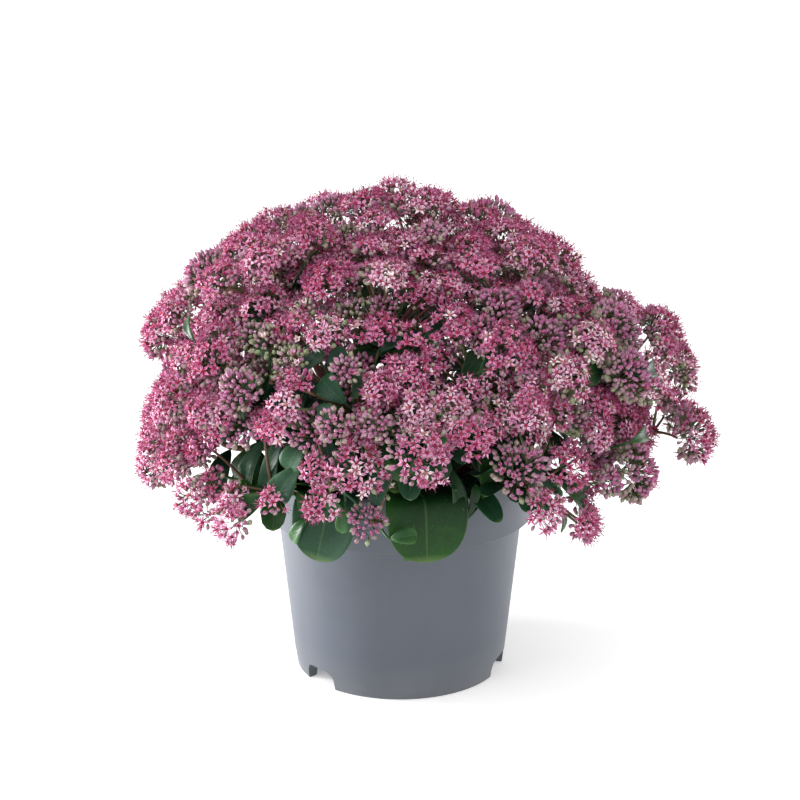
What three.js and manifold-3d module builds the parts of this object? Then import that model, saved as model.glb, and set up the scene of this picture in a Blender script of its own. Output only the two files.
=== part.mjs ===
// A potted mounding stonecrop in flower: a plastic nursery pot on three feet, its soil, and a dome of
// fleshy stems that each carry a branched flower head, with side shoots and rounded leaves at the edge.
// Millimetres, +Z up. The origin is on the pot's axis, on the surface that the pot stands on.

import * as THREE from 'three';
import { mergeVertices } from 'three/addons/utils/BufferGeometryUtils.js';
import Module from 'manifold-3d';

const wasm = await Module();
wasm.setup();

// Driving dimensions of the pot.
const RIM_RADIUS = 95;
const RIM_HEIGHT = 155.5;
const COLLAR_BOTTOM = 116;
const BODY_TOP_RADIUS = 87.1;
const BODY_FOOT_RADIUS = 76.2;
const FOOT_RADIUS = 74.5;
const WALL = 2.4;
const FLOOR = 3;
const CENTRE_DISC_RADIUS = 40;
const CHANNEL_INNER_RADIUS = 43;
const CHANNEL_OUTER_RADIUS = 66;
const CHANNEL_HEIGHT = 13;
const FOOT_LINE_HEIGHT = 11;
const FOOT_LINE_STEP = 0.4;
const RIM_LIP = 0.4;
const POT_SIDES = 40;
const NOTCH_WIDTH = 29;
const NOTCH_HEIGHT = 13;
const NOTCH_AZIMUTHS = [-49, 71, 191];
const DRAIN_HOLES = 6;
const DRAIN_RADIUS = 4;
const CUTTER_MARGIN = 4;

// Driving dimensions of the soil and of the plant's dome.
const GAP = 0.3;
const SOIL_SLACK = 0.7;
const SOIL_EDGE_HEIGHT = 143;
const SOIL_MIDDLE_HEIGHT = 149;
const DOME_RADIUS = 200;
const DOME_HEIGHT = 190;
const DOME_BASE = 150;

// Driving dimensions of the stems, heads and flower clusters.
const STEM_RADIUS = 2.7;
const SOCKET_DEPTH = 12;
const SOCKET_RADIUS = 5.6;
const CROWN_RADIUS = 52;
const STEM_RISE = 62;
const HUB_DEPTH = 52;
const HUB_DEPTH_LEAST = 20;
const HUB_DEPTH_PER_SPREAD = 0.76;
const HUB_RADIUS = 3.4;
const HUB_LENGTH = 6;
const STALK_RADIUS = 1.5;
const CLUSTER_RADIUS = 21;
const CLUSTER_HEIGHT = 14;
const SMALLEST_CLUSTER = 8;
const CLUSTER_ROOM = 0.1;
const HEAD_ROOM = 1.2;
const SPREAD_VARIATION = 0.14;
const TURN_VARIATION = 0.03;
const SAG_VARIATION = 4;
const RADIUS_VARIATION = 0.2;
const HEAD_CURVATURE = 130;
const UPWARD_TURN = 0.3;
const UP_LEAN = new THREE.Vector3(0, 0, 0.4);
const SHOOT_RADIUS = 1.9;

// Each main head: azimuth from the front toward +X, angle down from the top of the dome, reach as a
// share of the dome, distance in mm from the middle cluster to the ring of others, and their number.
const HEADS = [
  { azimuth: 70, drop: 4, reach: 1.07, spread: 40, clusters: 8 },
  { azimuth: -74, drop: 30, reach: 1.1, spread: 43, clusters: 8 },
  { azimuth: -6, drop: 29, reach: 1.01, spread: 43, clusters: 8 },
  { azimuth: 62, drop: 30, reach: 1.06, spread: 43, clusters: 8 },
  { azimuth: 138, drop: 30, reach: 1.05, spread: 44, clusters: 8 },
  { azimuth: 212, drop: 30, reach: 1.07, spread: 44, clusters: 8 },
  { azimuth: -99, drop: 50, reach: 1.06, spread: 36, clusters: 7 },
  { azimuth: -55, drop: 53, reach: 1.01, spread: 43, clusters: 8 },
  { azimuth: -14, drop: 50, reach: 1.0, spread: 43, clusters: 8 },
  { azimuth: 29, drop: 48, reach: 1.01, spread: 43, clusters: 8 },
  { azimuth: 72, drop: 52, reach: 1.06, spread: 44, clusters: 8 },
  { azimuth: 127, drop: 54, reach: 1.03, spread: 45, clusters: 8 },
  { azimuth: 180, drop: 52, reach: 1.02, spread: 45, clusters: 8 },
  { azimuth: -78, drop: 71, reach: 0.95, spread: 38, clusters: 7 },
  { azimuth: -39, drop: 76, reach: 0.96, spread: 38, clusters: 8 },
  { azimuth: 5, drop: 58, reach: 1.0, spread: 33, clusters: 7 },
  { azimuth: 41, drop: 74, reach: 0.95, spread: 38, clusters: 8 },
  { azimuth: 98, drop: 63, reach: 1.14, spread: 37, clusters: 7 },
  { azimuth: 154, drop: 76, reach: 0.98, spread: 44, clusters: 8 },
  { azimuth: 205, drop: 76, reach: 0.98, spread: 44, clusters: 8 },
  { azimuth: 239, drop: 70, reach: 1.0, spread: 43, clusters: 8 },
];

// Each side shoot: the stem that bears it, how far up that stem it leaves, and its own small head.
const SIDE_SHOOTS = [
  { parent: 14, along: 0.85, azimuth: -49, drop: 77, reach: 0.93, spread: 29, clusters: 5 },
  { parent: 14, along: 0.5, azimuth: -19, drop: 72, reach: 0.94, spread: 28, clusters: 5 },
  { parent: 8, along: 0.7, azimuth: -9, drop: 86, reach: 0.76, spread: 24, clusters: 2 },
  { parent: 16, along: 0.82, azimuth: 48, drop: 84, reach: 0.88, spread: 22, clusters: 2 },
  { parent: 17, along: 0.6, azimuth: 84, drop: 76, reach: 1.12, spread: 19, clusters: 4 },
  { parent: 17, along: 0.45, azimuth: 60, drop: 74, reach: 0.97, spread: 24, clusters: 4 },
];

// Each leaf: the stem that bears it, how far up it leaves, its width, and the places that its midrib
// passes on the way to its tip, each as azimuth, radius and height.
const LEAVES = [
  { name: 'leaf_front_right', parent: 15, along: 0.13, width: 64,
    path: [[6, 75, 158.5], [8, 94, 159], [9, 107, 153], [9, 115, 118]] },
  { name: 'leaf_front_left', parent: 14, along: 0.13, width: 55,
    path: [[-29, 72, 158.5], [-27, 94, 158.5], [-26, 107, 152], [-29, 115, 114]] },
  { name: 'leaf_front_upright', parent: 8, along: 0.3, width: 24,
    path: [[-2, 82, 176], [-1, 100, 182], [-2, 114, 167]] },
  { name: 'leaf_left_low', parent: 13, along: 0.16, width: 28,
    path: [[-62, 84, 157], [-60, 105, 156], [-59, 120, 149], [-59, 134, 136]] },
  { name: 'leaf_left_high', parent: 14, along: 0.3, width: 22,
    path: [[-31, 90, 175], [-30, 108, 178], [-30, 118, 170], [-31, 124, 150]] },
  { name: 'leaf_right_narrow', parent: 16, along: 0.13, width: 16,
    path: [[48, 78, 160], [51, 98, 160], [53, 110, 151], [55, 120, 130]] },
  { name: 'leaf_right_round', parent: 16, along: 0.1, width: 22,
    path: [[30, 72, 158], [29, 94, 158.5], [31, 108, 154], [33, 122, 142]] },
  { name: 'leaf_right_hanging', parent: 10, along: 0.7, width: 24,
    path: [[78, 115, 195], [78, 130, 188], [78, 138, 170], [79, 140, 136]] },
  { name: 'leaf_back_left', parent: 19, along: 0.12, width: 54,
    path: [[214, 74, 160], [225, 94, 159], [227, 108, 152], [227, 115, 118]] },
  { name: 'leaf_back_right', parent: 18, along: 0.12, width: 54,
    path: [[162, 74, 160], [174, 94, 159], [176, 108, 152], [176, 115, 118]] },
];
const LEAF_THICKNESS = 2.4;
const LEAF_BASE_WIDTH = 0.36;
const LEAF_TIP_WIDTH = 1.07;

// How many flat sides stand for each round shape.
const DRAIN_SIDES = 8;
const SOIL_SIDES = 28;
const SOCKET_SIDES = 6;
const STEM_SIDES = 6;
const STEM_STEPS = 6;
const SHOOT_SIDES = 5;
const CLUSTER_SIDES = 6;
const STALK_SIDES = 3;
const LEAF_SIDES = 6;
const LEAF_STEPS = 9;

const POT_COLOUR = 0x7c8691;
const SOIL_COLOUR = 0x2e2019;
const STEM_COLOUR = 0x6a3f38;
const HEAD_COLOUR = 0xb8508a;
const LEAF_COLOUR = 0x3f6b4c;

// A closed solid from a geometry: only its positions are kept, and the slivers at a pole are dropped.
function toSolid(geometry) {
  const bare = geometry.index ? geometry.clone() : mergeVertices(geometry);
  bare.deleteAttribute('normal');
  bare.deleteAttribute('uv');
  const merged = mergeVertices(bare, 1e-3);
  const corners = [];
  const index = merged.index.array;
  for (let i = 0; i < index.length; i += 3) {
    const [a, b, c] = [index[i], index[i + 1], index[i + 2]];
    if (a !== b && b !== c && c !== a) corners.push(a, b, c);
  }
  return new wasm.Manifold(new wasm.Mesh({
    numProp: 3,
    vertProperties: new Float32Array(merged.attributes.position.array),
    triVerts: new Uint32Array(corners),
  }));
}

function toMesh(name, solid, colour, roughness) {
  const result = solid.getMesh();
  const geometry = new THREE.BufferGeometry();
  geometry.setAttribute('position', new THREE.BufferAttribute(result.vertProperties, 3));
  geometry.setIndex(new THREE.BufferAttribute(result.triVerts, 1));
  geometry.computeVertexNormals();
  const material = new THREE.MeshStandardMaterial({ color: colour, roughness, metalness: 0 });
  const mesh = new THREE.Mesh(geometry, material);
  mesh.name = name;
  return mesh;
}

function radians(degrees) {
  return THREE.MathUtils.degToRad(degrees);
}

// A repeatable number from 0 to 1 for each seed, for the small differences between like pieces.
function vary(seed) {
  const value = Math.sin(seed * 12.9898) * 43758.5453;
  return value - Math.floor(value);
}

// A point at an azimuth from the front (-Y) toward +X, a radius from the pot's axis and a height.
function place(azimuth, radius, height) {
  const turn = radians(azimuth);
  return new THREE.Vector3(radius * Math.sin(turn), -radius * Math.cos(turn), height);
}

// A solid of revolution about +Z from [radius, height] pairs.
function revolve(profile, sides) {
  const points = profile.map(([radius, height]) => new THREE.Vector2(radius, height));
  const geometry = new THREE.LatheGeometry(points, sides);
  geometry.rotateX(Math.PI / 2);
  return geometry;
}

// Turns a geometry made along +Z to a direction and moves its origin to a point.
function aim(geometry, direction, origin) {
  const turn = new THREE.Quaternion().setFromUnitVectors(new THREE.Vector3(0, 0, 1), direction);
  geometry.applyQuaternion(turn);
  geometry.translate(origin.x, origin.y, origin.z);
  return geometry;
}

function rod(start, end, radius, sides) {
  const length = start.distanceTo(end);
  const geometry = new THREE.CylinderGeometry(radius, radius, length, sides);
  geometry.rotateX(Math.PI / 2);
  geometry.translate(0, 0, length / 2);
  return toSolid(aim(geometry, end.clone().sub(start).normalize(), start));
}

function tube(curve, radius, sides, steps) {
  const section = new THREE.Shape();
  for (let i = 0; i < sides; i += 1) {
    const turn = (2 * Math.PI * i) / sides;
    const [x, y] = [radius * Math.cos(turn), radius * Math.sin(turn)];
    if (i === 0) section.moveTo(x, y);
    else section.lineTo(x, y);
  }
  section.closePath();
  return toSolid(new THREE.ExtrudeGeometry(section, { steps, extrudePath: curve }));
}

// The pot: a tapering wall under an overhanging collar, a raised ring channel with drain holes in its
// floor, and three foot notches.
function pot() {
  const shelf = COLLAR_BOTTOM + WALL;
  const channelFloor = CHANNEL_HEIGHT + FLOOR;
  const wallFoot = BODY_FOOT_RADIUS - FOOT_LINE_STEP;
  let body = toSolid(revolve([
    [0, 0], [CENTRE_DISC_RADIUS, 0],
    [CHANNEL_INNER_RADIUS, CHANNEL_HEIGHT], [CHANNEL_OUTER_RADIUS, CHANNEL_HEIGHT],
    [CHANNEL_OUTER_RADIUS + 2, 0], [FOOT_RADIUS, 0],
    [wallFoot, FOOT_LINE_HEIGHT - FOOT_LINE_STEP], [BODY_FOOT_RADIUS, FOOT_LINE_HEIGHT],
    [BODY_TOP_RADIUS, COLLAR_BOTTOM], [RIM_RADIUS, COLLAR_BOTTOM],
    [RIM_RADIUS + RIM_LIP, RIM_HEIGHT - WALL / 2], [RIM_RADIUS, RIM_HEIGHT], [RIM_RADIUS - WALL, RIM_HEIGHT],
    [RIM_RADIUS - WALL, shelf], [BODY_TOP_RADIUS - WALL, shelf],
    [BODY_FOOT_RADIUS - WALL + 0.5, channelFloor],
    [CHANNEL_INNER_RADIUS + 1, channelFloor], [CENTRE_DISC_RADIUS, FLOOR], [0, FLOOR],
  ], POT_SIDES));

  const arch = new THREE.Shape();
  const half = NOTCH_WIDTH / 2;
  arch.moveTo(-half, -1);
  arch.lineTo(half, -1);
  arch.lineTo(half, NOTCH_HEIGHT * 0.3);
  arch.quadraticCurveTo(half, NOTCH_HEIGHT, half * 0.35, NOTCH_HEIGHT);
  arch.lineTo(-half * 0.35, NOTCH_HEIGHT);
  arch.quadraticCurveTo(-half, NOTCH_HEIGHT, -half, NOTCH_HEIGHT * 0.3);
  for (const azimuth of NOTCH_AZIMUTHS) {
    const cutter = new THREE.ExtrudeGeometry(arch, {
      depth: BODY_TOP_RADIUS - CHANNEL_OUTER_RADIUS + CUTTER_MARGIN,
      bevelEnabled: false,
      curveSegments: 4,
    });
    cutter.rotateX(Math.PI / 2);
    cutter.translate(0, -CHANNEL_OUTER_RADIUS + CUTTER_MARGIN, 0);
    cutter.rotateZ(radians(azimuth));
    body = body.subtract(toSolid(cutter));
  }

  const drainRing = (CHANNEL_INNER_RADIUS + CHANNEL_OUTER_RADIUS) / 2;
  for (let i = 0; i < DRAIN_HOLES; i += 1) {
    const azimuth = (360 * i) / DRAIN_HOLES;
    const below = place(azimuth, drainRing, CHANNEL_HEIGHT - CUTTER_MARGIN);
    const above = place(azimuth, drainRing, channelFloor + CUTTER_MARGIN);
    body = body.subtract(rod(below, above, DRAIN_RADIUS, DRAIN_SIDES));
  }
  return body;
}

// The flower heads as plain facts: each cluster's centre, direction and radius, the hub where the
// cluster stalks meet, and the head's own direction.
function headLayout(entry, seed) {
  const [azimuth, drop] = [radians(entry.azimuth), radians(entry.drop)];
  const normal = new THREE.Vector3(
    (Math.sin(drop) * Math.sin(azimuth)) / DOME_RADIUS,
    (-Math.sin(drop) * Math.cos(azimuth)) / DOME_RADIUS,
    Math.cos(drop) / DOME_HEIGHT,
  ).normalize();
  const axis = normal.clone().add(new THREE.Vector3(0, 0, UPWARD_TURN)).normalize();
  const top = place(
    entry.azimuth,
    DOME_RADIUS * entry.reach * Math.sin(drop),
    DOME_BASE + DOME_HEIGHT * entry.reach * Math.cos(drop),
  );
  const middle = top.clone().addScaledVector(axis, -CLUSTER_HEIGHT);
  const depth = Math.min(HUB_DEPTH, HUB_DEPTH_LEAST + HUB_DEPTH_PER_SPREAD * entry.spread);
  const hub = middle.clone().addScaledVector(axis, -depth);
  const across = new THREE.Vector3(Math.cos(azimuth), Math.sin(azimuth), 0);
  const along = new THREE.Vector3().crossVectors(axis, across);

  const clusters = [];
  for (let i = 0; i < entry.clusters; i += 1) {
    const out = i === 0 ? 0 : entry.spread * (1 + SPREAD_VARIATION * (vary(seed + i) - 0.5));
    const lap = i / (entry.clusters - 1) + vary(seed) + TURN_VARIATION * vary(seed + i + 20);
    const turn = 2 * Math.PI * lap;
    const sag = (out * out) / (2 * HEAD_CURVATURE) + SAG_VARIATION * vary(seed + i + 50);
    const centre = middle.clone()
      .addScaledVector(across, out * Math.cos(turn))
      .addScaledVector(along, out * Math.sin(turn))
      .addScaledVector(axis, -sag);
    const direction = centre.clone().sub(hub).normalize().add(axis).add(UP_LEAN).normalize();
    const radius = CLUSTER_RADIUS * (1 + RADIUS_VARIATION * (vary(seed + i + 90) - 0.6));
    clusters.push({ centre, direction, radius });
  }
  return { axis, hub, clusters };
}

// Clusters of different heads never touch: two that are too close both shrink, and a very small one
// is left out.
function settle(layouts) {
  const all = layouts.flatMap((layout, head) => layout.clusters.map((cluster) => ({ head, cluster })));
  all.forEach((first, i) => {
    all.slice(i + 1).forEach((second) => {
      const distance = first.cluster.centre.distanceTo(second.cluster.centre);
      const room = first.head === second.head ? CLUSTER_ROOM : HEAD_ROOM;
      const excess = first.cluster.radius + second.cluster.radius + room - distance;
      if (excess > 0) {
        first.cluster.radius -= excess / 2;
        second.cluster.radius -= excess / 2;
      }
    });
  });
  layouts.forEach((layout) => {
    layout.clusters = layout.clusters.filter((cluster) => cluster.radius >= SMALLEST_CLUSTER);
  });
}

// One cluster: a domed cushion of florets on a stalk from the hub.
function clusterSolid(cluster, hub) {
  const height = CLUSTER_HEIGHT * (cluster.radius / CLUSTER_RADIUS);
  const cushion = aim(revolve([
    [0, -height * 0.75], [cluster.radius, -height * 0.1],
    [cluster.radius * 0.68, height * 0.66], [0, height],
  ], CLUSTER_SIDES), cluster.direction, cluster.centre);
  return toSolid(cushion).add(rod(hub, cluster.centre, STALK_RADIUS, STALK_SIDES));
}

// One head: a short hub, with all its clusters joined to it.
function headSolid(layout) {
  const knob = revolve([
    [0, 0], [STEM_RADIUS, 0], [HUB_RADIUS, HUB_LENGTH * 0.6], [0, HUB_LENGTH],
  ], CLUSTER_SIDES);
  let head = toSolid(aim(knob, layout.axis, layout.hub));
  const root = layout.hub.clone().addScaledVector(layout.axis, HUB_LENGTH * 0.4);
  for (const cluster of layout.clusters) {
    head = head.add(clusterSolid(cluster, root));
  }
  return head;
}

// The feet of the stems lie on a spiral over the crown, turned so that each foot faces its own head.
function stemCurve(layout, entry) {
  const crown = CROWN_RADIUS * (0.25 + 0.75 * Math.sin(radians(Math.min(entry.drop, 90))));
  const foot = place(entry.azimuth, crown, soilHeight(crown) - SOCKET_DEPTH + GAP);
  const top = layout.hub.clone().addScaledVector(layout.axis, -GAP);
  return new THREE.CubicBezierCurve3(
    foot,
    foot.clone().add(new THREE.Vector3(0, 0, STEM_RISE)),
    top.clone().addScaledVector(layout.axis, -STEM_RISE * 0.6),
    top,
  );
}

function soilHeight(radius) {
  const edge = RIM_RADIUS - WALL - GAP;
  return SOIL_MIDDLE_HEIGHT + (SOIL_EDGE_HEIGHT - SOIL_MIDDLE_HEIGHT) * (radius / edge);
}

// The soil fills the pot, and each stem stands in a socket of its own.
function soil(curves) {
  const channelFloor = CHANNEL_HEIGHT + FLOOR + GAP;
  const shelf = COLLAR_BOTTOM + WALL + GAP;
  let body = toSolid(revolve([
    [0, FLOOR + GAP], [CENTRE_DISC_RADIUS - GAP, FLOOR + GAP],
    [CHANNEL_INNER_RADIUS + SOIL_SLACK, channelFloor], [BODY_FOOT_RADIUS - WALL, channelFloor],
    [BODY_TOP_RADIUS - WALL - SOIL_SLACK, shelf], [RIM_RADIUS - WALL - GAP, shelf],
    [RIM_RADIUS - WALL - GAP, SOIL_EDGE_HEIGHT], [0, SOIL_MIDDLE_HEIGHT],
  ], SOIL_SIDES));
  for (const curve of curves) {
    const foot = curve.getPoint(0);
    const bottom = foot.clone().setZ(foot.z - GAP);
    const above = foot.clone().setZ(foot.z + 2 * SOCKET_DEPTH);
    body = body.subtract(rod(bottom, above, SOCKET_RADIUS, SOCKET_SIDES));
  }
  return body;
}

// Where a shoot or a leaf meets its stem: a point beside the bark, and the direction straight off it.
function leaveStem(bearer, along, target) {
  const knee = bearer.getPoint(along);
  const tangent = bearer.getTangent(along);
  const away = target.clone().sub(knee);
  away.addScaledVector(tangent, -away.dot(tangent)).normalize();
  return { start: knee.addScaledVector(away, STEM_RADIUS + GAP), away };
}

// A side shoot: a thin branch from a bearing stem to a small head of its own, all one piece.
function sideShoot(entry, layout, bearer) {
  const end = layout.hub.clone().addScaledVector(layout.axis, HUB_LENGTH * 0.4);
  const { start, away } = leaveStem(bearer, entry.along, end);
  const reach = start.distanceTo(end) / 3;
  const branch = new THREE.CubicBezierCurve3(
    start,
    start.clone().addScaledVector(away, reach),
    end.clone().addScaledVector(layout.axis, -reach * 0.4).add(new THREE.Vector3(0, 0, reach * 0.5)),
    end,
  );
  return headSolid(layout).add(tube(branch, SHOOT_RADIUS, SHOOT_SIDES, STEM_STEPS));
}

// A leaf: a sphere flattened and bent along its midrib, from beside its stem to the tip.
function leaf(entry, bearer) {
  const stops = entry.path.map((stop) => place(...stop));
  const { start } = leaveStem(bearer, entry.along, stops[0]);
  const midrib = new THREE.CatmullRomCurve3([start, ...stops]);
  const outward = stops[stops.length - 1].clone().sub(start).setZ(0);
  const across = new THREE.Vector3(0, 0, 1).cross(outward).normalize();
  const geometry = new THREE.SphereGeometry(1, LEAF_SIDES, LEAF_STEPS);
  const position = geometry.attributes.position;
  for (let i = 0; i < position.count; i += 1) {
    const share = (1 - position.getY(i)) / 2;
    const centre = midrib.getPoint(share);
    const normal = new THREE.Vector3().crossVectors(midrib.getTangent(share), across).normalize();
    const fullness = LEAF_BASE_WIDTH + (LEAF_TIP_WIDTH - LEAF_BASE_WIDTH) * share;
    centre.addScaledVector(across, position.getX(i) * (entry.width / 2) * fullness);
    centre.addScaledVector(normal, position.getZ(i) * (LEAF_THICKNESS / 2));
    position.setXYZ(i, centre.x, centre.y, centre.z);
  }
  return toSolid(geometry);
}

function twoDigits(number) {
  return String(number).padStart(2, '0');
}

const plant = new THREE.Group();
const layouts = [...HEADS, ...SIDE_SHOOTS].map((entry, i) => headLayout(entry, 7 * i + 3));
settle(layouts);
const stemCurves = HEADS.map((entry, i) => stemCurve(layouts[i], entry));

plant.add(toMesh('pot', pot(), POT_COLOUR, 0.5));
plant.add(toMesh('soil', soil(stemCurves), SOIL_COLOUR, 0.95));
stemCurves.forEach((curve, i) => {
  plant.add(toMesh(`stem_${twoDigits(i + 1)}`, tube(curve, STEM_RADIUS, STEM_SIDES, STEM_STEPS), STEM_COLOUR, 0.6));
});
HEADS.forEach((entry, i) => {
  plant.add(toMesh(`flower_head_${twoDigits(i + 1)}`, headSolid(layouts[i]), HEAD_COLOUR, 0.7));
});
SIDE_SHOOTS.forEach((entry, i) => {
  const layout = layouts[HEADS.length + i];
  const solid = sideShoot(entry, layout, stemCurves[entry.parent]);
  plant.add(toMesh(`side_shoot_${twoDigits(i + 1)}`, solid, HEAD_COLOUR, 0.7));
});
LEAVES.forEach((entry) => {
  plant.add(toMesh(entry.name, leaf(entry, stemCurves[entry.parent]), LEAF_COLOUR, 0.45));
});

export default plant;
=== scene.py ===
# A mounding stonecrop in full flower in a round plastic nursery pot: the pot, its peat, the arching
# stems, a dome of branched flower heads, a few side shoots, and fleshy leaves between and below them.
# Blender works in metres. The plant is laid out in millimetres, and MM turns one into the other.
import math

import bmesh
import bpy
import numpy as np
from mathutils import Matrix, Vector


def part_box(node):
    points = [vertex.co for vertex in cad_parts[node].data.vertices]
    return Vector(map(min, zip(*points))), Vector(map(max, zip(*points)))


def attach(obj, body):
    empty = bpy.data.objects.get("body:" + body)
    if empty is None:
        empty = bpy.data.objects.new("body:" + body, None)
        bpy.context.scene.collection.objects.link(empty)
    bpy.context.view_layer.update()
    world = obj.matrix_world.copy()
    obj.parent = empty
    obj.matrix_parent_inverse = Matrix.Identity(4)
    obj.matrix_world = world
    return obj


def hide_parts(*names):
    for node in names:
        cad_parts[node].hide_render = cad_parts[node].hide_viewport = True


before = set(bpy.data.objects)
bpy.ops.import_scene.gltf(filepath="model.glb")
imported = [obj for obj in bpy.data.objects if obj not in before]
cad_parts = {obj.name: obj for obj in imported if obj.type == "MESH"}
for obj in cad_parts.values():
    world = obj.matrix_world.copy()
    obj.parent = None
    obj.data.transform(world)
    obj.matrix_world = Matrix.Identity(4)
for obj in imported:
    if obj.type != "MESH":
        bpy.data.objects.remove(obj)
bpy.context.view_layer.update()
MM = 0.001


# The pot. One injection-moulded container of blue-grey polypropylene: a tapering wall under a plain
# collar band, a thin raised lip, a ring line near the foot, and a floor that stands on three arcs.
_, pot_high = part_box("pot")
RIM_HEIGHT = pot_high.z / MM
RIM_RADIUS = 95.0
RIM_LIP = 0.4
LIP_HEIGHT = 3.6
LIP_BLEND = 0.6
COLLAR_FLARE = 0.1
COLLAR_BOTTOM = 116.0
BODY_TOP_RADIUS = 87.1
BODY_FOOT_RADIUS = 76.2
FOOT_RADIUS = 74.5
WALL = 2.4
FLOOR = 3.0
DISC_RADIUS = 40.0
CHANNEL_INNER_RADIUS = 43.0
CHANNEL_OUTER_RADIUS = 66.0
CHANNEL_HEIGHT = 13.0
CHANNEL_FLARE = 2.0
INNER_FLARE = 1.0
FOOT_FILLET = 0.5
CORNER_RADIUS = 1.1
CORNER_STEPS = 4
FOOT_LINE_HEIGHT = 11.0
FOOT_LINE_DEPTH = 0.4
NOTCH_WIDTH = 29.0
NOTCH_HEIGHT = 13.0
NOTCH_AZIMUTHS = (-49, 71, 191)
NOTCH_STEPS = 8
NOTCH_SLANT = 0.02
NOTCH_CUT_BELOW = 2.0
NOTCH_CUT_INSIDE = 4.0
NOTCH_CUT_OUTSIDE = 8.0
DRAIN_HOLES = 6
DRAIN_RADIUS = 4.0
DRAIN_SIDES = 24
DRAIN_CUT = 20.0
POT_SIDES = 160
SMOOTH_UNDER = math.radians(32)
NOISE_ROUGHNESS = 0.55


def place(azimuth, radius, height):
    """A point at an azimuth in degrees from the front toward +X, a radius and a height."""
    turn = math.radians(azimuth)
    return np.array([radius * math.sin(turn), -radius * math.cos(turn), height])


def piece_from(name, points, faces, finishes):
    """A new object from points in millimetres and faces as lists of corners."""
    mesh = bpy.data.meshes.new(name)
    mesh.from_pydata((np.asarray(points) * MM).tolist(), [], [list(face) for face in faces])
    for finish in finishes:
        mesh.materials.append(finish)
    mesh.validate()
    piece = bpy.data.objects.new(name, mesh)
    bpy.context.scene.collection.objects.link(piece)
    return piece


def turned(name, profile, sides, finishes):
    """A solid of revolution about Z from (radius, height) pairs that close on themselves."""
    turns = np.linspace(0, 2 * math.pi, sides, endpoint=False)
    points = [(r * math.sin(t), -r * math.cos(t), z) for r, z in profile for t in turns]
    faces = []
    rings = len(profile)
    for ring in range(rings):
        above = (ring + 1) % rings
        for side in range(sides):
            beside = (side + 1) % sides
            faces.append((ring * sides + side, ring * sides + beside,
                          above * sides + beside, above * sides + side))
    piece = piece_from(name, points, faces, finishes)
    shape = bmesh.new()
    shape.from_mesh(piece.data)
    bmesh.ops.remove_doubles(shape, verts=shape.verts, dist=1e-6)
    bmesh.ops.recalc_face_normals(shape, faces=shape.faces)
    shape.to_mesh(piece.data)
    shape.free()
    return piece


def soften(profile, radius, steps):
    """The same profile with each marked corner (radius, height, True) rounded off."""
    rounded = []
    count = len(profile)
    for i, corner in enumerate(profile):
        here = np.array(corner[:2], float)
        if len(corner) < 3:
            rounded.append(here)
            continue
        before = np.array(profile[i - 1][:2], float) - here
        after = np.array(profile[(i + 1) % count][:2], float) - here
        reach = min(radius, np.linalg.norm(before) / 2.2, np.linalg.norm(after) / 2.2)
        start = here + before / np.linalg.norm(before) * reach
        end = here + after / np.linalg.norm(after) * reach
        for share in np.linspace(0, 1, steps):
            rounded.append((1 - share) ** 2 * start + 2 * share * (1 - share) * here + share**2 * end)
    return rounded


def carve(piece, tool):
    """Cuts one solid out of another for good and drops the tool."""
    cut = piece.modifiers.new("cut", "BOOLEAN")
    cut.operation = "DIFFERENCE"
    cut.solver = "EXACT"
    cut.object = tool
    bpy.context.view_layer.objects.active = piece
    bpy.ops.object.modifier_apply(modifier=cut.name)
    bpy.data.objects.remove(tool)


def paint(red, green, blue):
    """A colour as the shader wants it from its screen values of 0 to 255."""
    screen = np.array([red, green, blue]) / 255
    linear = np.where(screen <= 0.04045, screen / 12.92, ((screen + 0.055) / 1.055) ** 2.4)
    return (*linear.tolist(), 1.0)


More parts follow.
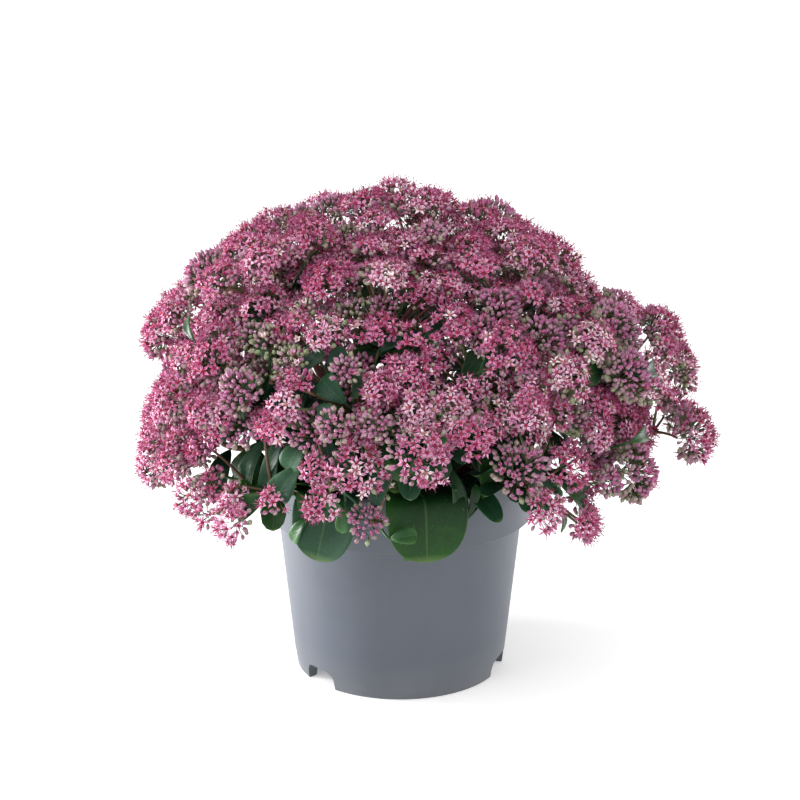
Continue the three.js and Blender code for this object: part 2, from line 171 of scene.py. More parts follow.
class Finish:
    """A material with its node tree, and short calls for the nodes that its pattern needs."""

    def __init__(self, name, roughness, specular=0.5):
        self.material = bpy.data.materials.new(name)
        self.material.use_nodes = True
        self.tree = self.material.node_tree
        self.shader = self.tree.nodes["Principled BSDF"]
        self.shader.inputs["Roughness"].default_value = roughness
        self.shader.inputs["Specular IOR Level"].default_value = specular

    def node(self, kind, **settings):
        made = self.tree.nodes.new(kind)
        for key, value in settings.items():
            setattr(made, key, value)
        return made

    def feed(self, socket, value):
        if isinstance(value, bpy.types.NodeSocket):
            self.tree.links.new(value, socket)
        else:
            socket.default_value = value

    def maths(self, operation, first, second=0.0):
        made = self.node("ShaderNodeMath", operation=operation)
        self.feed(made.inputs[0], first)
        self.feed(made.inputs[1], second)
        return made.outputs[0]

    def place_on_object(self, stretch=(1, 1, 1)):
        spot = self.node("ShaderNodeTexCoord").outputs["Object"]
        mapping = self.node("ShaderNodeMapping")
        mapping.inputs["Scale"].default_value = stretch
        self.feed(mapping.inputs["Vector"], spot)
        return mapping.outputs[0]

    def noise(self, scale, detail=4.0, where=None):
        made = self.node("ShaderNodeTexNoise")
        made.inputs["Scale"].default_value = scale
        made.inputs["Detail"].default_value = detail
        made.inputs["Roughness"].default_value = NOISE_ROUGHNESS
        self.feed(made.inputs["Vector"], where or self.place_on_object())
        return made.outputs["Fac"]

    def ramp(self, factor, stops):
        made = self.node("ShaderNodeValToRGB")
        band = made.color_ramp.elements
        while len(band) < len(stops):
            band.new(0.5)
        for element, (position, colour) in zip(band, stops):
            element.position = position
            element.color = colour
        self.feed(made.inputs[0], factor)
        return made.outputs[0]

    def between(self, value, low, high, start=0.0, end=1.0):
        made = self.node("ShaderNodeMapRange", clamp=True)
        for socket, given in zip(made.inputs, (value, low, high, start, end)):
            self.feed(socket, given)
        return made.outputs[0]

    def mix(self, factor, first, second):
        made = self.node("ShaderNodeMix", data_type="RGBA")
        self.feed(made.inputs[0], factor)
        self.feed(made.inputs[6], first)
        self.feed(made.inputs[7], second)
        return made.outputs[2]

    def bump(self, height, strength, distance):
        made = self.node("ShaderNodeBump")
        made.inputs["Strength"].default_value = strength
        made.inputs["Distance"].default_value = distance
        self.feed(made.inputs["Height"], height)
        self.feed(self.shader.inputs["Normal"], made.outputs[0])

    def colour(self, value):
        self.feed(self.shader.inputs["Base Color"], value)


def pot_finish():
    """Satin moulded plastic: faint flow streaks down the wall, fine grain, and dust near the foot."""
    finish = Finish("pot_plastic", 0.42)
    streaks = finish.noise(34, 3.0, finish.place_on_object((1.0, 1.0, 0.08)))
    mottle = finish.noise(11, 5.0)
    base = finish.ramp(mottle, [(0.3, paint(71, 77, 87)), (0.7, paint(78, 84, 94))])
    base = finish.mix(finish.between(streaks, 0.45, 0.75, 0.0, 0.3), base, paint(87, 93, 103))
    height = finish.node("ShaderNodeSeparateXYZ")
    finish.feed(height.inputs[0], finish.place_on_object())
    dust = finish.maths("MULTIPLY", finish.between(height.outputs[2], 0.0, 0.03, 0.3, 0.0), mottle)
    finish.colour(finish.mix(dust, base, paint(142, 138, 130)))
    grain = finish.noise(900, 2.0)
    finish.feed(finish.shader.inputs["Roughness"], finish.between(mottle, 0.2, 0.8, 0.36, 0.5))
    finish.bump(finish.maths("ADD", finish.maths("MULTIPLY", streaks, 0.6), grain), 0.12, 0.0004)
    return finish.material


def build_pot():
    shelf = COLLAR_BOTTOM + WALL
    channel_floor = CHANNEL_HEIGHT + FLOOR
    inner_foot = BODY_FOOT_RADIUS - WALL + FOOT_FILLET
    profile = soften([
        (0, 0), (DISC_RADIUS, 0, True),
        (CHANNEL_INNER_RADIUS, CHANNEL_HEIGHT, True), (CHANNEL_OUTER_RADIUS, CHANNEL_HEIGHT, True),
        (CHANNEL_OUTER_RADIUS + CHANNEL_FLARE, 0, True), (FOOT_RADIUS, 0, True),
        (BODY_FOOT_RADIUS - FOOT_LINE_DEPTH, FOOT_LINE_HEIGHT - FOOT_LINE_DEPTH),
        (BODY_FOOT_RADIUS, FOOT_LINE_HEIGHT, True),
        (BODY_TOP_RADIUS, COLLAR_BOTTOM), (RIM_RADIUS, COLLAR_BOTTOM, True),
        (RIM_RADIUS + COLLAR_FLARE, RIM_HEIGHT - LIP_HEIGHT - LIP_BLEND),
        (RIM_RADIUS + RIM_LIP, RIM_HEIGHT - LIP_HEIGHT, True),
        (RIM_RADIUS + RIM_LIP, RIM_HEIGHT, True), (RIM_RADIUS - WALL, RIM_HEIGHT, True),
        (RIM_RADIUS - WALL, shelf, True), (BODY_TOP_RADIUS - WALL, shelf, True),
        (inner_foot, channel_floor, True),
        (CHANNEL_INNER_RADIUS + INNER_FLARE, channel_floor, True), (DISC_RADIUS, FLOOR, True), (0, FLOOR),
    ], CORNER_RADIUS, CORNER_STEPS)
    pot = turned("nursery_pot", profile, POT_SIDES, [pot_finish()])

    half = NOTCH_WIDTH / 2
    arch = [(-half, -NOTCH_CUT_BELOW), (half, -NOTCH_CUT_BELOW)]
    arch += [(half * math.cos(t) ** 0.5, NOTCH_HEIGHT * math.sin(t) ** 0.6)
             for t in np.linspace(NOTCH_SLANT, math.pi / 2 - NOTCH_SLANT, NOTCH_STEPS)]
    arch += [(-x, z) for x, z in reversed(arch[2:])]
    for azimuth in NOTCH_AZIMUTHS:
        corners = []
        for depth in (CHANNEL_OUTER_RADIUS - NOTCH_CUT_INSIDE, BODY_TOP_RADIUS + NOTCH_CUT_OUTSIDE):
            for x, z in arch:
                outward, sideways = place(azimuth, depth, z), place(azimuth + 90, x, 0)
                corners.append(outward + sideways)
        count = len(arch)
        sides = [(i, (i + 1) % count, count + (i + 1) % count, count + i) for i in range(count)]
        caps = [tuple(reversed(range(count))), tuple(range(count, 2 * count))]
        carve(pot, piece_from("notch", corners, sides + caps, []))
    ring = (CHANNEL_INNER_RADIUS + CHANNEL_OUTER_RADIUS) / 2
    for i in range(DRAIN_HOLES):
        x, y, _ = place(360 * i / DRAIN_HOLES, ring, 0)
        bpy.ops.mesh.primitive_cylinder_add(
            vertices=DRAIN_SIDES, radius=DRAIN_RADIUS * MM, depth=DRAIN_CUT * MM,
            location=(x * MM, y * MM, channel_floor * MM))
        carve(pot, bpy.context.object)
    for face in pot.data.polygons:
        face.use_smooth = True
    pot.data.set_sharp_from_angle(angle=SMOOTH_UNDER)
    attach(pot, "root")
    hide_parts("pot")


build_pot()


# The potting soil. Dark, damp peat that fills the pot to a finger's width under the rim, with coarse
# fibres and a few pale perlite grains pressed into its loose top.
GAP = 0.3
SOIL_SLACK = 0.7
SOIL_EDGE_HEIGHT = 143.0
SOIL_MIDDLE_HEIGHT = 149.0
SOIL_SIDES = 96
SOIL_RINGS = 36
CRUMB = 0.765


def vary(seed):
    """A repeatable number from 0 to 1 for each seed."""
    value = math.sin(seed * 12.9898) * 43758.5453
    return value - math.floor(value)


def soil_height(radius):
    edge = RIM_RADIUS - WALL - GAP
    return SOIL_MIDDLE_HEIGHT + (SOIL_EDGE_HEIGHT - SOIL_MIDDLE_HEIGHT) * (radius / edge)


def soil_finish():
    """Crumbly dark brown peat with fibres, and white grains where the fine cells fall."""
    finish = Finish("peat", 0.95, 0.2)
    crumbs = finish.noise(420, 6.0)
    base = finish.ramp(crumbs, [(0.3, paint(24, 17, 13)), (0.55, paint(52, 38, 29)),
                                (0.8, paint(84, 64, 48))])
    grains = finish.node("ShaderNodeTexVoronoi")
    grains.inputs["Scale"].default_value = 160
    finish.feed(grains.inputs["Vector"], finish.place_on_object())
    pale = finish.maths("MULTIPLY", finish.between(grains.outputs["Distance"], 0.22, 0.16),
                        finish.between(finish.noise(60, 2.0), 0.6, 0.63))
    finish.colour(finish.mix(pale, base, paint(205, 200, 190)))
    finish.bump(crumbs, 0.9, 0.002)
    return finish.material


def build_soil():
    rng = np.random.default_rng(11)
    edge = RIM_RADIUS - WALL - GAP
    points = [(0, 0, SOIL_MIDDLE_HEIGHT)]
    for ring in range(1, SOIL_RINGS + 1):
        radius = edge * ring / SOIL_RINGS
        for side in range(SOIL_SIDES):
            x, y, _ = place(360 * (side + 0.5 * (ring % 2)) / SOIL_SIDES, radius, 0)
            crumb = 0 if ring == SOIL_RINGS else rng.normal(0, CRUMB)
            points.append((x, y, soil_height(radius) + crumb))
    faces = [(0, 1 + side, 1 + (side + 1) % SOIL_SIDES) for side in range(SOIL_SIDES)]
    for ring in range(SOIL_RINGS - 1):
        low, high = 1 + ring * SOIL_SIDES, 1 + (ring + 1) * SOIL_SIDES
        for side in range(SOIL_SIDES):
            beside = (side + 1) % SOIL_SIDES
            faces.append((low + side, high + side, high + beside, low + beside))
    rim = 1 + (SOIL_RINGS - 1) * SOIL_SIDES
    shelf = COLLAR_BOTTOM + WALL + GAP
    wall = [(edge, shelf), (BODY_TOP_RADIUS - WALL - SOIL_SLACK, shelf),
            (BODY_FOOT_RADIUS - WALL, CHANNEL_HEIGHT + FLOOR + GAP),
            (CHANNEL_INNER_RADIUS + SOIL_SLACK, CHANNEL_HEIGHT + FLOOR + GAP),
            (DISC_RADIUS - GAP, FLOOR + GAP)]
    last = rim
    for radius, height in wall:
        first = len(points)
        points += [tuple(place(360 * (side + 0.5 * (SOIL_RINGS % 2)) / SOIL_SIDES, radius, height))
                   for side in range(SOIL_SIDES)]
        for side in range(SOIL_SIDES):
            beside = (side + 1) % SOIL_SIDES
            faces.append((last + side, first + side, first + beside, last + beside))
        last = first
    faces.append(tuple(last + side for side in reversed(range(SOIL_SIDES))))
    soil = piece_from("potting_peat", points, faces, [soil_finish()])
    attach(soil, "root")
    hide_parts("soil")


build_soil()


# The plan of the plant. Each stem ends in a head, laid on a dome by its azimuth from the front, its
# angle down from the top, its reach as a share of the dome, the distance in millimetres from its
# middle cluster to the ring of others, and their number. Side shoots name the stem that bears them.
DOME_RADIUS = 200.0
DOME_HEIGHT = 190.0
DOME_BASE = 150.0
HUB_DEPTH = 52.0
HUB_DEPTH_LEAST = 20.0
HUB_DEPTH_PER_SPREAD = 0.76
HUB_LENGTH = 6.0
CLUSTER_RADIUS = 21.0
CLUSTER_HEIGHT = 14.0
SMALLEST_CLUSTER = 8.0
CLUSTER_ROOM = 0.1
HEAD_ROOM = 1.2
HEAD_CURVATURE = 130.0
HEAD_LIFT = 0.3
CLUSTER_LIFT = 0.4
ROOT_ON_HUB = 0.4
RING_VARIES = 0.14
TURN_VARIES = 0.03
SAG_VARIES = 4.0
SIZE_VARIES = 0.2
UP = np.array([0.0, 0.0, 1.0])
HEADS = [
    (70, 4, 1.07, 40, 8), (-74, 30, 1.1, 43, 8), (-6, 29, 1.01, 43, 8), (62, 30, 1.06, 43, 8),
    (138, 30, 1.05, 44, 8), (212, 30, 1.07, 44, 8), (-99, 50, 1.06, 36, 7), (-55, 53, 1.01, 43, 8),
    (-14, 50, 1.0, 43, 8), (29, 48, 1.01, 43, 8), (72, 52, 1.06, 44, 8), (127, 54, 1.03, 45, 8),
    (180, 52, 1.02, 45, 8), (-78, 71, 0.95, 38, 7), (-39, 76, 0.96, 38, 8), (5, 58, 1.0, 33, 7),
    (41, 74, 0.95, 38, 8), (98, 63, 1.14, 37, 7), (154, 76, 0.98, 44, 8), (205, 76, 0.98, 44, 8),
    (239, 70, 1.0, 43, 8),
]
SIDE_SHOOTS = [
    (14, 0.85, (-49, 77, 0.93, 29, 5)), (14, 0.5, (-19, 72, 0.94, 28, 5)),
    (8, 0.7, (-9, 86, 0.76, 24, 2)), (16, 0.82, (48, 84, 0.88, 22, 2)),
    (17, 0.6, (84, 76, 1.12, 19, 4)), (17, 0.45, (60, 74, 0.97, 24, 4)),
]


def unit(vector):
    return vector / np.linalg.norm(vector)


class Cluster:
    """One domed cluster of flowers: its middle, the way it faces, its radius, and its place on the dome."""

    def __init__(self, centre, direction, radius):
        self.centre, self.direction, self.radius = centre, direction, radius
        out = math.hypot(centre[0], centre[1]) / DOME_RADIUS
        self.azimuth = math.degrees(math.atan2(centre[0], -centre[1]))
        self.drop = math.degrees(math.atan2(out, (centre[2] - DOME_BASE) / DOME_HEIGHT))


class Head:
    """One flower head: the hub on top of its stem, its own direction, and its clusters."""

    def __init__(self, facts, seed):
        azimuth, drop, reach, spread, count = facts
        turn, fall = math.radians(azimuth), math.radians(drop)
        normal = unit(np.array([math.sin(fall) * math.sin(turn) / DOME_RADIUS,
                                -math.sin(fall) * math.cos(turn) / DOME_RADIUS,
                                math.cos(fall) / DOME_HEIGHT]))
        self.azimuth, self.drop, self.seed = azimuth, drop, seed
        self.axis = unit(normal + HEAD_LIFT * UP)
        top = place(azimuth, DOME_RADIUS * reach * math.sin(fall),
                    DOME_BASE + DOME_HEIGHT * reach * math.cos(fall))
        middle = top - self.axis * CLUSTER_HEIGHT
        depth = min(HUB_DEPTH, HUB_DEPTH_LEAST + HUB_DEPTH_PER_SPREAD * spread)
        self.hub = middle - self.axis * depth
        self.root = self.hub + self.axis * HUB_LENGTH * ROOT_ON_HUB
        across = np.array([math.cos(turn), math.sin(turn), 0.0])
        along = np.cross(self.axis, across)
        self.clusters = []
        for i in range(count):
            out = 0 if i == 0 else spread * (1 + RING_VARIES * (vary(seed + i) - 0.5))
            share = i / (count - 1) + vary(seed) + TURN_VARIES * vary(seed + i + 20)
            lap = 2 * math.pi * share
            sag = out**2 / (2 * HEAD_CURVATURE) + SAG_VARIES * vary(seed + i + 50)
            centre = (middle + across * out * math.cos(lap) + along * out * math.sin(lap)
                      - self.axis * sag)
            direction = unit(unit(centre - self.hub) + self.axis + CLUSTER_LIFT * UP)
            radius = CLUSTER_RADIUS * (1 + SIZE_VARIES * (vary(seed + i + 90) - 0.6))
            self.clusters.append(Cluster(centre, direction, radius))


def settle(heads):
    """Two clusters that are too close both shrink, and a very small one is left out."""
    everyone = [(head, cluster) for head in heads for cluster in head.clusters]
    for i, (head, cluster) in enumerate(everyone):
        for other_head, other in everyone[i + 1:]:
            room = CLUSTER_ROOM if head is other_head else HEAD_ROOM
            apart = np.linalg.norm(cluster.centre - other.centre)
            excess = cluster.radius + other.radius + room - apart
            if excess > 0:
                cluster.radius -= excess / 2
                other.radius -= excess / 2
    for head in heads:
        head.clusters = [c for c in head.clusters if c.radius >= SMALLEST_CLUSTER]


every_head = [Head(facts, 7 * i + 3)
              for i, facts in enumerate(HEADS + [shoot[2] for shoot in SIDE_SHOOTS])]
settle(every_head)
main_heads, shoot_heads = every_head[:len(HEADS)], every_head[len(HEADS):]


# The stems. Fleshy round stems a little thinner than a pencil, green under a flush of reddish brown,
# with a swollen ring at each old leaf joint. Each rises from the crown and arches to its head.
STEM_RADIUS = 2.7
SOCKET_DEPTH = 12.0
CROWN_RADIUS = 52.0
STEM_RISE = 62.0
STEM_SIDES = 10
STEM_STEPS = 40
STEM_TAPER = 0.25
CROWN_MIDDLE = 0.25
JOINTS_PER_STEM = 7
JOINT_SWELL = 0.16
JOINT_SPREAD = 0.004
STEM_THICKEST = 1.05
STEM_ENDS = (0.6, 0.5)
ROW_MARGIN = 0.15


def bezier(start, first, second, end):
    """A curve as a function of the share of its run."""
    def at(share):
        s = np.asarray(share, float)[..., None]
        return ((1 - s) ** 3 * start + 3 * (1 - s) ** 2 * s * first
                + 3 * (1 - s) * s**2 * second + s**3 * end)
    return at


def stem_curve(head):
    crown = CROWN_RADIUS * (CROWN_MIDDLE + (1 - CROWN_MIDDLE) * math.sin(math.radians(min(head.drop, 90))))
    foot = place(head.azimuth, crown, soil_height(crown) - SOCKET_DEPTH + GAP)
    top = head.hub - head.axis * GAP
    return bezier(foot, foot + UP * STEM_RISE, top - head.axis * STEM_RISE * 0.6, top)


def square_to(direction):
    """Two directions square to each given one and to each other."""
    direction = np.atleast_2d(direction)
    helper = np.where(np.abs(direction[:, 2:3]) < 0.9, [[0, 0, 1.0]], [[1.0, 0, 0]])
    first = np.cross(direction, helper)
    first /= np.linalg.norm(first, axis=1, keepdims=True)
    return first, np.cross(direction, first)


class Tissue:
    """Gathers the triangles of one piece. Each corner has a place on the part's own chart: how far
    along the part it lies, and across it within the row of its shade."""

    def __init__(self):
        self.points, self.faces, self.spots, self.slots = [], [], [], []
        self.count = 0

    def add(self, points, faces, spots, slots):
        faces = np.asarray(faces)
        self.points.append(np.asarray(points, float))
        self.faces.append(faces + self.count)
        self.spots.append(np.asarray(spots, float))
        self.slots.append(np.broadcast_to(slots, len(faces)))
        self.count += len(points)

    def piece(self, name, finishes, chart):
        """The piece itself, as one mesh of smooth triangles."""
        points = np.concatenate(self.points) * MM
        faces = np.concatenate(self.faces).astype(np.int32)
        mesh = bpy.data.meshes.new(name)
        mesh.vertices.add(len(points))
        mesh.vertices.foreach_set("co", points.astype(np.float32).ravel())
        mesh.loops.add(faces.size)
        mesh.loops.foreach_set("vertex_index", faces.ravel())
        mesh.polygons.add(len(faces))
        mesh.polygons.foreach_set("loop_start", np.arange(0, faces.size, 3, dtype=np.int32))
        for finish in finishes:
            mesh.materials.append(finish)
        slots = np.concatenate(self.slots).astype(np.int32)
        mesh.polygons.foreach_set("material_index", slots)
        layer = mesh.uv_layers.new(name=chart)
        layer.uv.foreach_set("vector", np.concatenate(self.spots).astype(np.float32).ravel())
        mesh.update(calc_edges=True)
        mesh.validate()
        mesh.shade_smooth()
        made = bpy.data.objects.new(name, mesh)
        bpy.context.scene.collection.objects.link(made)
        return made


def tube(tissue, path, radii, sides, row, rows, slot):
    """A round stem along a path of points, closed at both ends."""
    path = np.asarray(path, float)
    steps = len(path)
    tangent = np.gradient(path, axis=0)
    tangent /= np.linalg.norm(tangent, axis=1, keepdims=True)
    first, second = [], []
    carried = square_to(tangent[0])[0][0]
    for direction in tangent:
        carried = unit(carried - direction * np.dot(carried, direction))
        first.append(carried)
        second.append(np.cross(direction, carried))
    turns = np.linspace(0, 2 * math.pi, sides, endpoint=False)
    radii = np.broadcast_to(radii, steps)
    ring = (np.cos(turns)[None, :, None] * np.array(first)[:, None]
            + np.sin(turns)[None, :, None] * np.array(second)[:, None])
    points = (path[:, None] + ring * radii[:, None, None]).reshape(-1, 3)
    lanes = [(row + ROW_MARGIN + (1 - 2 * ROW_MARGIN) * side / sides) / rows for side in range(sides + 1)]
    faces, spots = [], []
    for step in range(steps - 1):
        for side in range(sides):
            beside = (side + 1) % sides
            a, b = step * sides + side, step * sides + beside
            c, d = a + sides, b + sides
            u0, u1 = step / (steps - 1), (step + 1) / (steps - 1)
            v0, v1 = lanes[side], lanes[side + 1]
            faces += [(a, b, d), (a, d, c)]
            spots += [[(u0, v0), (u0, v1), (u1, v1)], [(u0, v0), (u1, v1), (u1, v0)]]
    tips = len(points)
    points = np.concatenate([points, path[:1], path[-1:]])
    for side in range(sides):
        beside = (side + 1) % sides
        v0, v1 = lanes[side], lanes[side + 1]
        base = (steps - 1) * sides
        faces += [(tips, beside, side), (tips + 1, base + side, base + beside)]
        spots += [[(0.0, v0), (0.01, v1), (0.01, v0)], [(1.0, v1), (0.99, v0), (0.99, v1)]]
    tissue.add(points, faces, spots, slot)


def stem_finish():
    """Smooth bark, brown-red where the sun reached it, green in streaks."""
    finish = Finish("stem_bark", 0.5, 0.4)
    blotch = finish.noise(70, 5.0, finish.place_on_object((1, 1, 0.4)))
    base = finish.ramp(blotch, [(0.32, paint(86, 96, 58)), (0.5, paint(104, 66, 54)),
                                (0.7, paint(122, 58, 56))])
    flecks = finish.noise(900, 2.0)
    finish.colour(finish.mix(finish.between(flecks, 0.62, 0.72, 0.0, 0.4), base, paint(150, 118, 92)))
    finish.bump(flecks, 0.25, 0.0005)
    return finish.material


STEM_FINISH = stem_finish()
stem_curves = [stem_curve(head) for head in main_heads]


def build_stems():
    shares = np.linspace(0, 1, STEM_STEPS)
    for i, curve in enumerate(stem_curves):
        swell = np.exp(-((shares * JOINTS_PER_STEM + vary(i)) % 1 - 0.5) ** 2 / JOINT_SPREAD)
        radii = STEM_RADIUS * (STEM_THICKEST - STEM_TAPER * shares) * (1 + JOINT_SWELL * swell)
        radii[0], radii[-1] = (STEM_RADIUS * share for share in STEM_ENDS)
        tissue = Tissue()
        tube(tissue, curve(shares), radii, STEM_SIDES, 0, 1, 0)
        stem = tissue.piece(f"stem_{i + 1:02d}_bark", [STEM_FINISH], "along")
        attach(stem, "root")
        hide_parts(f"stem_{i + 1:02d}")


build_stems()


# The florets. Each open flower is a star of five pointed petals round five small seed pods, with
# hair-thin stamens, a green calyx and a short green stalk. Buds are ribbed drops in the same calyx.
# All their colours lie on one chart: a row of it for each shade, along and across the part.
ROWS = 64
PETAL, BUD, POD, GREEN, TWIG, STAMEN = range(6)
FIRST_ROW = {PETAL: 0, BUD: 32, POD: 48, GREEN: 52, TWIG: 56, STAMEN: 60}
SHADES = {PETAL: 32, BUD: 16, POD: 4, GREEN: 4, TWIG: 4, STAMEN: 4}
PETALS = 5
PETAL_WIDEST = 0.46
PETAL_HALF_WIDTH = 0.2
PETAL_FOLD = 0.07
POD_RADIUS = 0.13
POD_HEIGHT = 0.42
POD_FOOT = 0.09
HAIR_FOOT = 0.07
CASE_RADIUS = 0.062
CALYX_RADIUS = 0.24
BUD_CALYX_RADIUS = 0.27
UPRIGHT = 0.8
FLORET_RADIUS = 4.9
BUD_LENGTH = 4.5
STAR_KINDS = 6
CUP_KINDS = 3
BUD_KINDS = 3


class Shape:
    """A small pattern of triangles, one unit long, that is repeated at many places."""

    def __init__(self):
        self.points, self.faces, self.spots, self.slots = [], [], [], []

    def add(self, points, faces, spots, slot):
        start = len(self.points)
        self.points += [tuple(p) for p in points]
        self.faces += [tuple(start + i for i in face) for face in faces]
        self.spots += [[spots[i] for i in face] for face in faces]
        self.slots += [slot] * len(faces)

    def ready(self):
        self.points = np.array(self.points, float)
        self.faces = np.array(self.faces)
        self.spots = np.array(self.spots, float)
        self.slots = np.array(self.slots)
        return self


def petal(shape, turn, lift, curl, length, width):
    """One lance-shaped petal, folded along its middle, lifted at its base and arching outward."""
    points, spots = [], []
    widest = PETAL_WIDEST
    for share, offset in ((0.06, 0), (widest, 0), (widest, -1), (widest, 1), (1.0, 0)):
        reach = length * share
        out = math.cos(lift) * reach
        rise = math.sin(lift) * reach - curl * reach**2 + (PETAL_FOLD if offset else 0.0)
        aside = offset * width
        points.append((out * math.cos(turn) - aside * math.sin(turn),
                       out * math.sin(turn) + aside * math.cos(turn), rise))
        spots.append((share, 0.5 + 0.38 * offset))
    shape.add(points, [(0, 1, 2), (1, 4, 2), (0, 3, 1), (1, 3, 4)], spots, PETAL)


def spike(shape, base, tip, radius, slot, sides=3):
    """A thin pointed cone from its base to its tip."""
    base, tip = np.array(base, float), np.array(tip, float)
    first, second = square_to(unit(tip - base))
    points, spots = [tip], [(1.0, 0.5)]
    for i in range(sides):
        angle = 2 * math.pi * i / sides
        points.append(base + radius * (math.cos(angle) * first[0] + math.sin(angle) * second[0]))
        spots.append((0.05, 0.15 + 0.7 * (i * 2 % sides) / (sides - 1)))
    shape.add(points, [(0, 1 + i, 1 + (i + 1) % sides) for i in range(sides)], spots, slot)


def stamen(shape, base, tip):
    """A hair that widens into its pollen case, closed by a small cap."""
    base, tip = np.array(base, float), np.array(tip, float)
    first, second = square_to(unit(tip - base))
    points, spots = [base], [(0.05, 0.5)]
    for i, (along, across) in enumerate(((0.9, 0.15), (0.98, 0.5), (0.92, 0.85))):
        angle = 2 * math.pi * i / 3
        points.append(tip + CASE_RADIUS * (math.cos(angle) * first[0] + math.sin(angle) * second[0]))
        spots.append((along, across))
    shape.add(points, [(0, 2, 1), (0, 3, 2), (0, 1, 3), (1, 2, 3)], spots, STAMEN)


def star(rng, lift, curl):
    """An open flower, or a half-open one where the petals stand up steeply. One stamen is shed."""
    shape = Shape()
    for i in range(PETALS):
        turn = 2 * math.pi * (i + rng.normal(0, 0.06)) / PETALS
        petal(shape, turn, lift + rng.normal(0, 0.14), curl + rng.normal(0, 0.05),
              1 + rng.normal(0, 0.08), PETAL_HALF_WIDTH + rng.normal(0, 0.02))
        pod_turn = turn + math.pi / PETALS
        near, far = POD_FOOT, 0.2 + 0.06 * rng.random()
        spike(shape, (near * math.cos(pod_turn), near * math.sin(pod_turn), 0.0),
              (far * math.cos(pod_turn), far * math.sin(pod_turn), POD_HEIGHT), POD_RADIUS, POD)
        if i == 0:
            continue
        hair_turn = turn + rng.normal(0, 0.35)
        reach = 0.45 + 0.35 * rng.random()
        height = 0.62 + 0.36 * rng.random() + 0.3 * (lift > UPRIGHT)
        stamen(shape, (HAIR_FOOT * math.cos(hair_turn), HAIR_FOOT * math.sin(hair_turn), 0.0),
               (reach * math.cos(hair_turn), reach * math.sin(hair_turn), height))
    spike(shape, (0, 0, 0.06), (0, 0, -0.34), CALYX_RADIUS, GREEN, 5)
    return shape.ready()


def bud(rng, sides=5):
    """A closed bud one unit long: a blunt ribbed drop in a short green calyx."""
    shape = Shape()
    points, spots = [], []
    for share, radius in ((0.12, 0.2), (0.6, 0.3)):
        for i in range(sides):
            angle = 2 * math.pi * (i + rng.normal(0, 0.04)) / sides
            wide = radius * (1 + rng.normal(0, 0.06))
            points.append((wide * math.cos(angle), wide * math.sin(angle), share))
            spots.append((share, 0.15 + 0.7 * (i * 2 % sides) / (sides - 1)))
    points.append((0.0, 0.0, 1.0))
    spots.append((1.0, 0.5))
    faces = []
    for i in range(sides):
        beside = (i + 1) % sides
        faces += [(i, beside, beside + sides), (i, beside + sides, i + sides)]
        faces.append((sides + i, sides + beside, 2 * sides))
    shape.add(points, faces, spots, BUD)
    spike(shape, (0, 0, 0.34), (0, 0, -0.15), BUD_CALYX_RADIUS, GREEN, 5)
    return shape.ready()


def repeat(tissue, shape, origins, normals, sizes, rows, rng):
    """Sets a shape at each origin, along each normal, at any turn. rows gives each kind of part its
    shade for each copy."""
    count = len(origins)
    if count == 0:
        return
    first, second = square_to(normals)
    spin = rng.uniform(0, 2 * math.pi, count)[:, None]
    side = first * np.cos(spin) + second * np.sin(spin)
    other = np.cross(normals, side)
    basis = np.stack([side, other, normals], 1) * sizes[:, None, None]
    points = np.einsum("pj,njk->npk", shape.points, basis) + origins[:, None]
    steps = np.arange(count) * len(shape.points)
    faces = (shape.faces[None] + steps[:, None, None]).reshape(-1, 3)
    spots = np.repeat(shape.spots[None], count, 0)
    row = rows[:, shape.slots]
    spots[..., 1] = (row[:, :, None] + spots[..., 1]) / ROWS
    tissue.add(points.reshape(-1, 3), faces, spots.reshape(-1, 3, 2), np.tile(shape.slots, count))


def stalks(tissue, starts, ends, thickness, row, slot):
    """Straight thin stalks, one from each start to each end, three-sided and narrower at the start."""
    count = len(starts)
    if count == 0:
        return
    along = ends - starts
    along /= np.maximum(np.linalg.norm(along, axis=1, keepdims=True), 1e-6)
    first, second = square_to(along)
    turns = np.linspace(0, 2 * math.pi, 3, endpoint=False)
    ring = (np.cos(turns)[None, :, None] * first[:, None]
            + np.sin(turns)[None, :, None] * second[:, None])
    points = np.concatenate([starts[:, None], ends[:, None] + ring * thickness], 1)
    faces = np.array([(0, 2, 1), (0, 3, 2), (0, 1, 3)])
    places = [(0.0, 0.5), (1.0, 0.15), (1.0, 0.5), (1.0, 0.85)]
    spots = np.array([[places[i] for i in face] for face in faces], float)
    spots[..., 1] = (row + spots[..., 1]) / ROWS
    steps = np.arange(count) * 4
    tissue.add(points.reshape(-1, 3), (faces[None] + steps[:, None, None]).reshape(-1, 3),
               np.tile(spots, (count, 1, 1)), slot)


def chart_places(finish, kind):
    """The place along a part, the place across it, and its shade from 0 to 1, off the chart."""
    spot = finish.node("ShaderNodeUVMap", uv_map="OFBake")
    parts = finish.node("ShaderNodeSeparateXYZ")
    finish.feed(parts.inputs[0], spot.outputs[0])
    scaled = finish.maths("MULTIPLY", parts.outputs[1], float(ROWS))
    row = finish.maths("FLOOR", scaled)
    across = finish.maths("SUBTRACT", scaled, row)
    shade = finish.between(row, float(FIRST_ROW[kind]), float(FIRST_ROW[kind] + SHADES[kind] - 1))
    return parts.outputs[0], across, shade


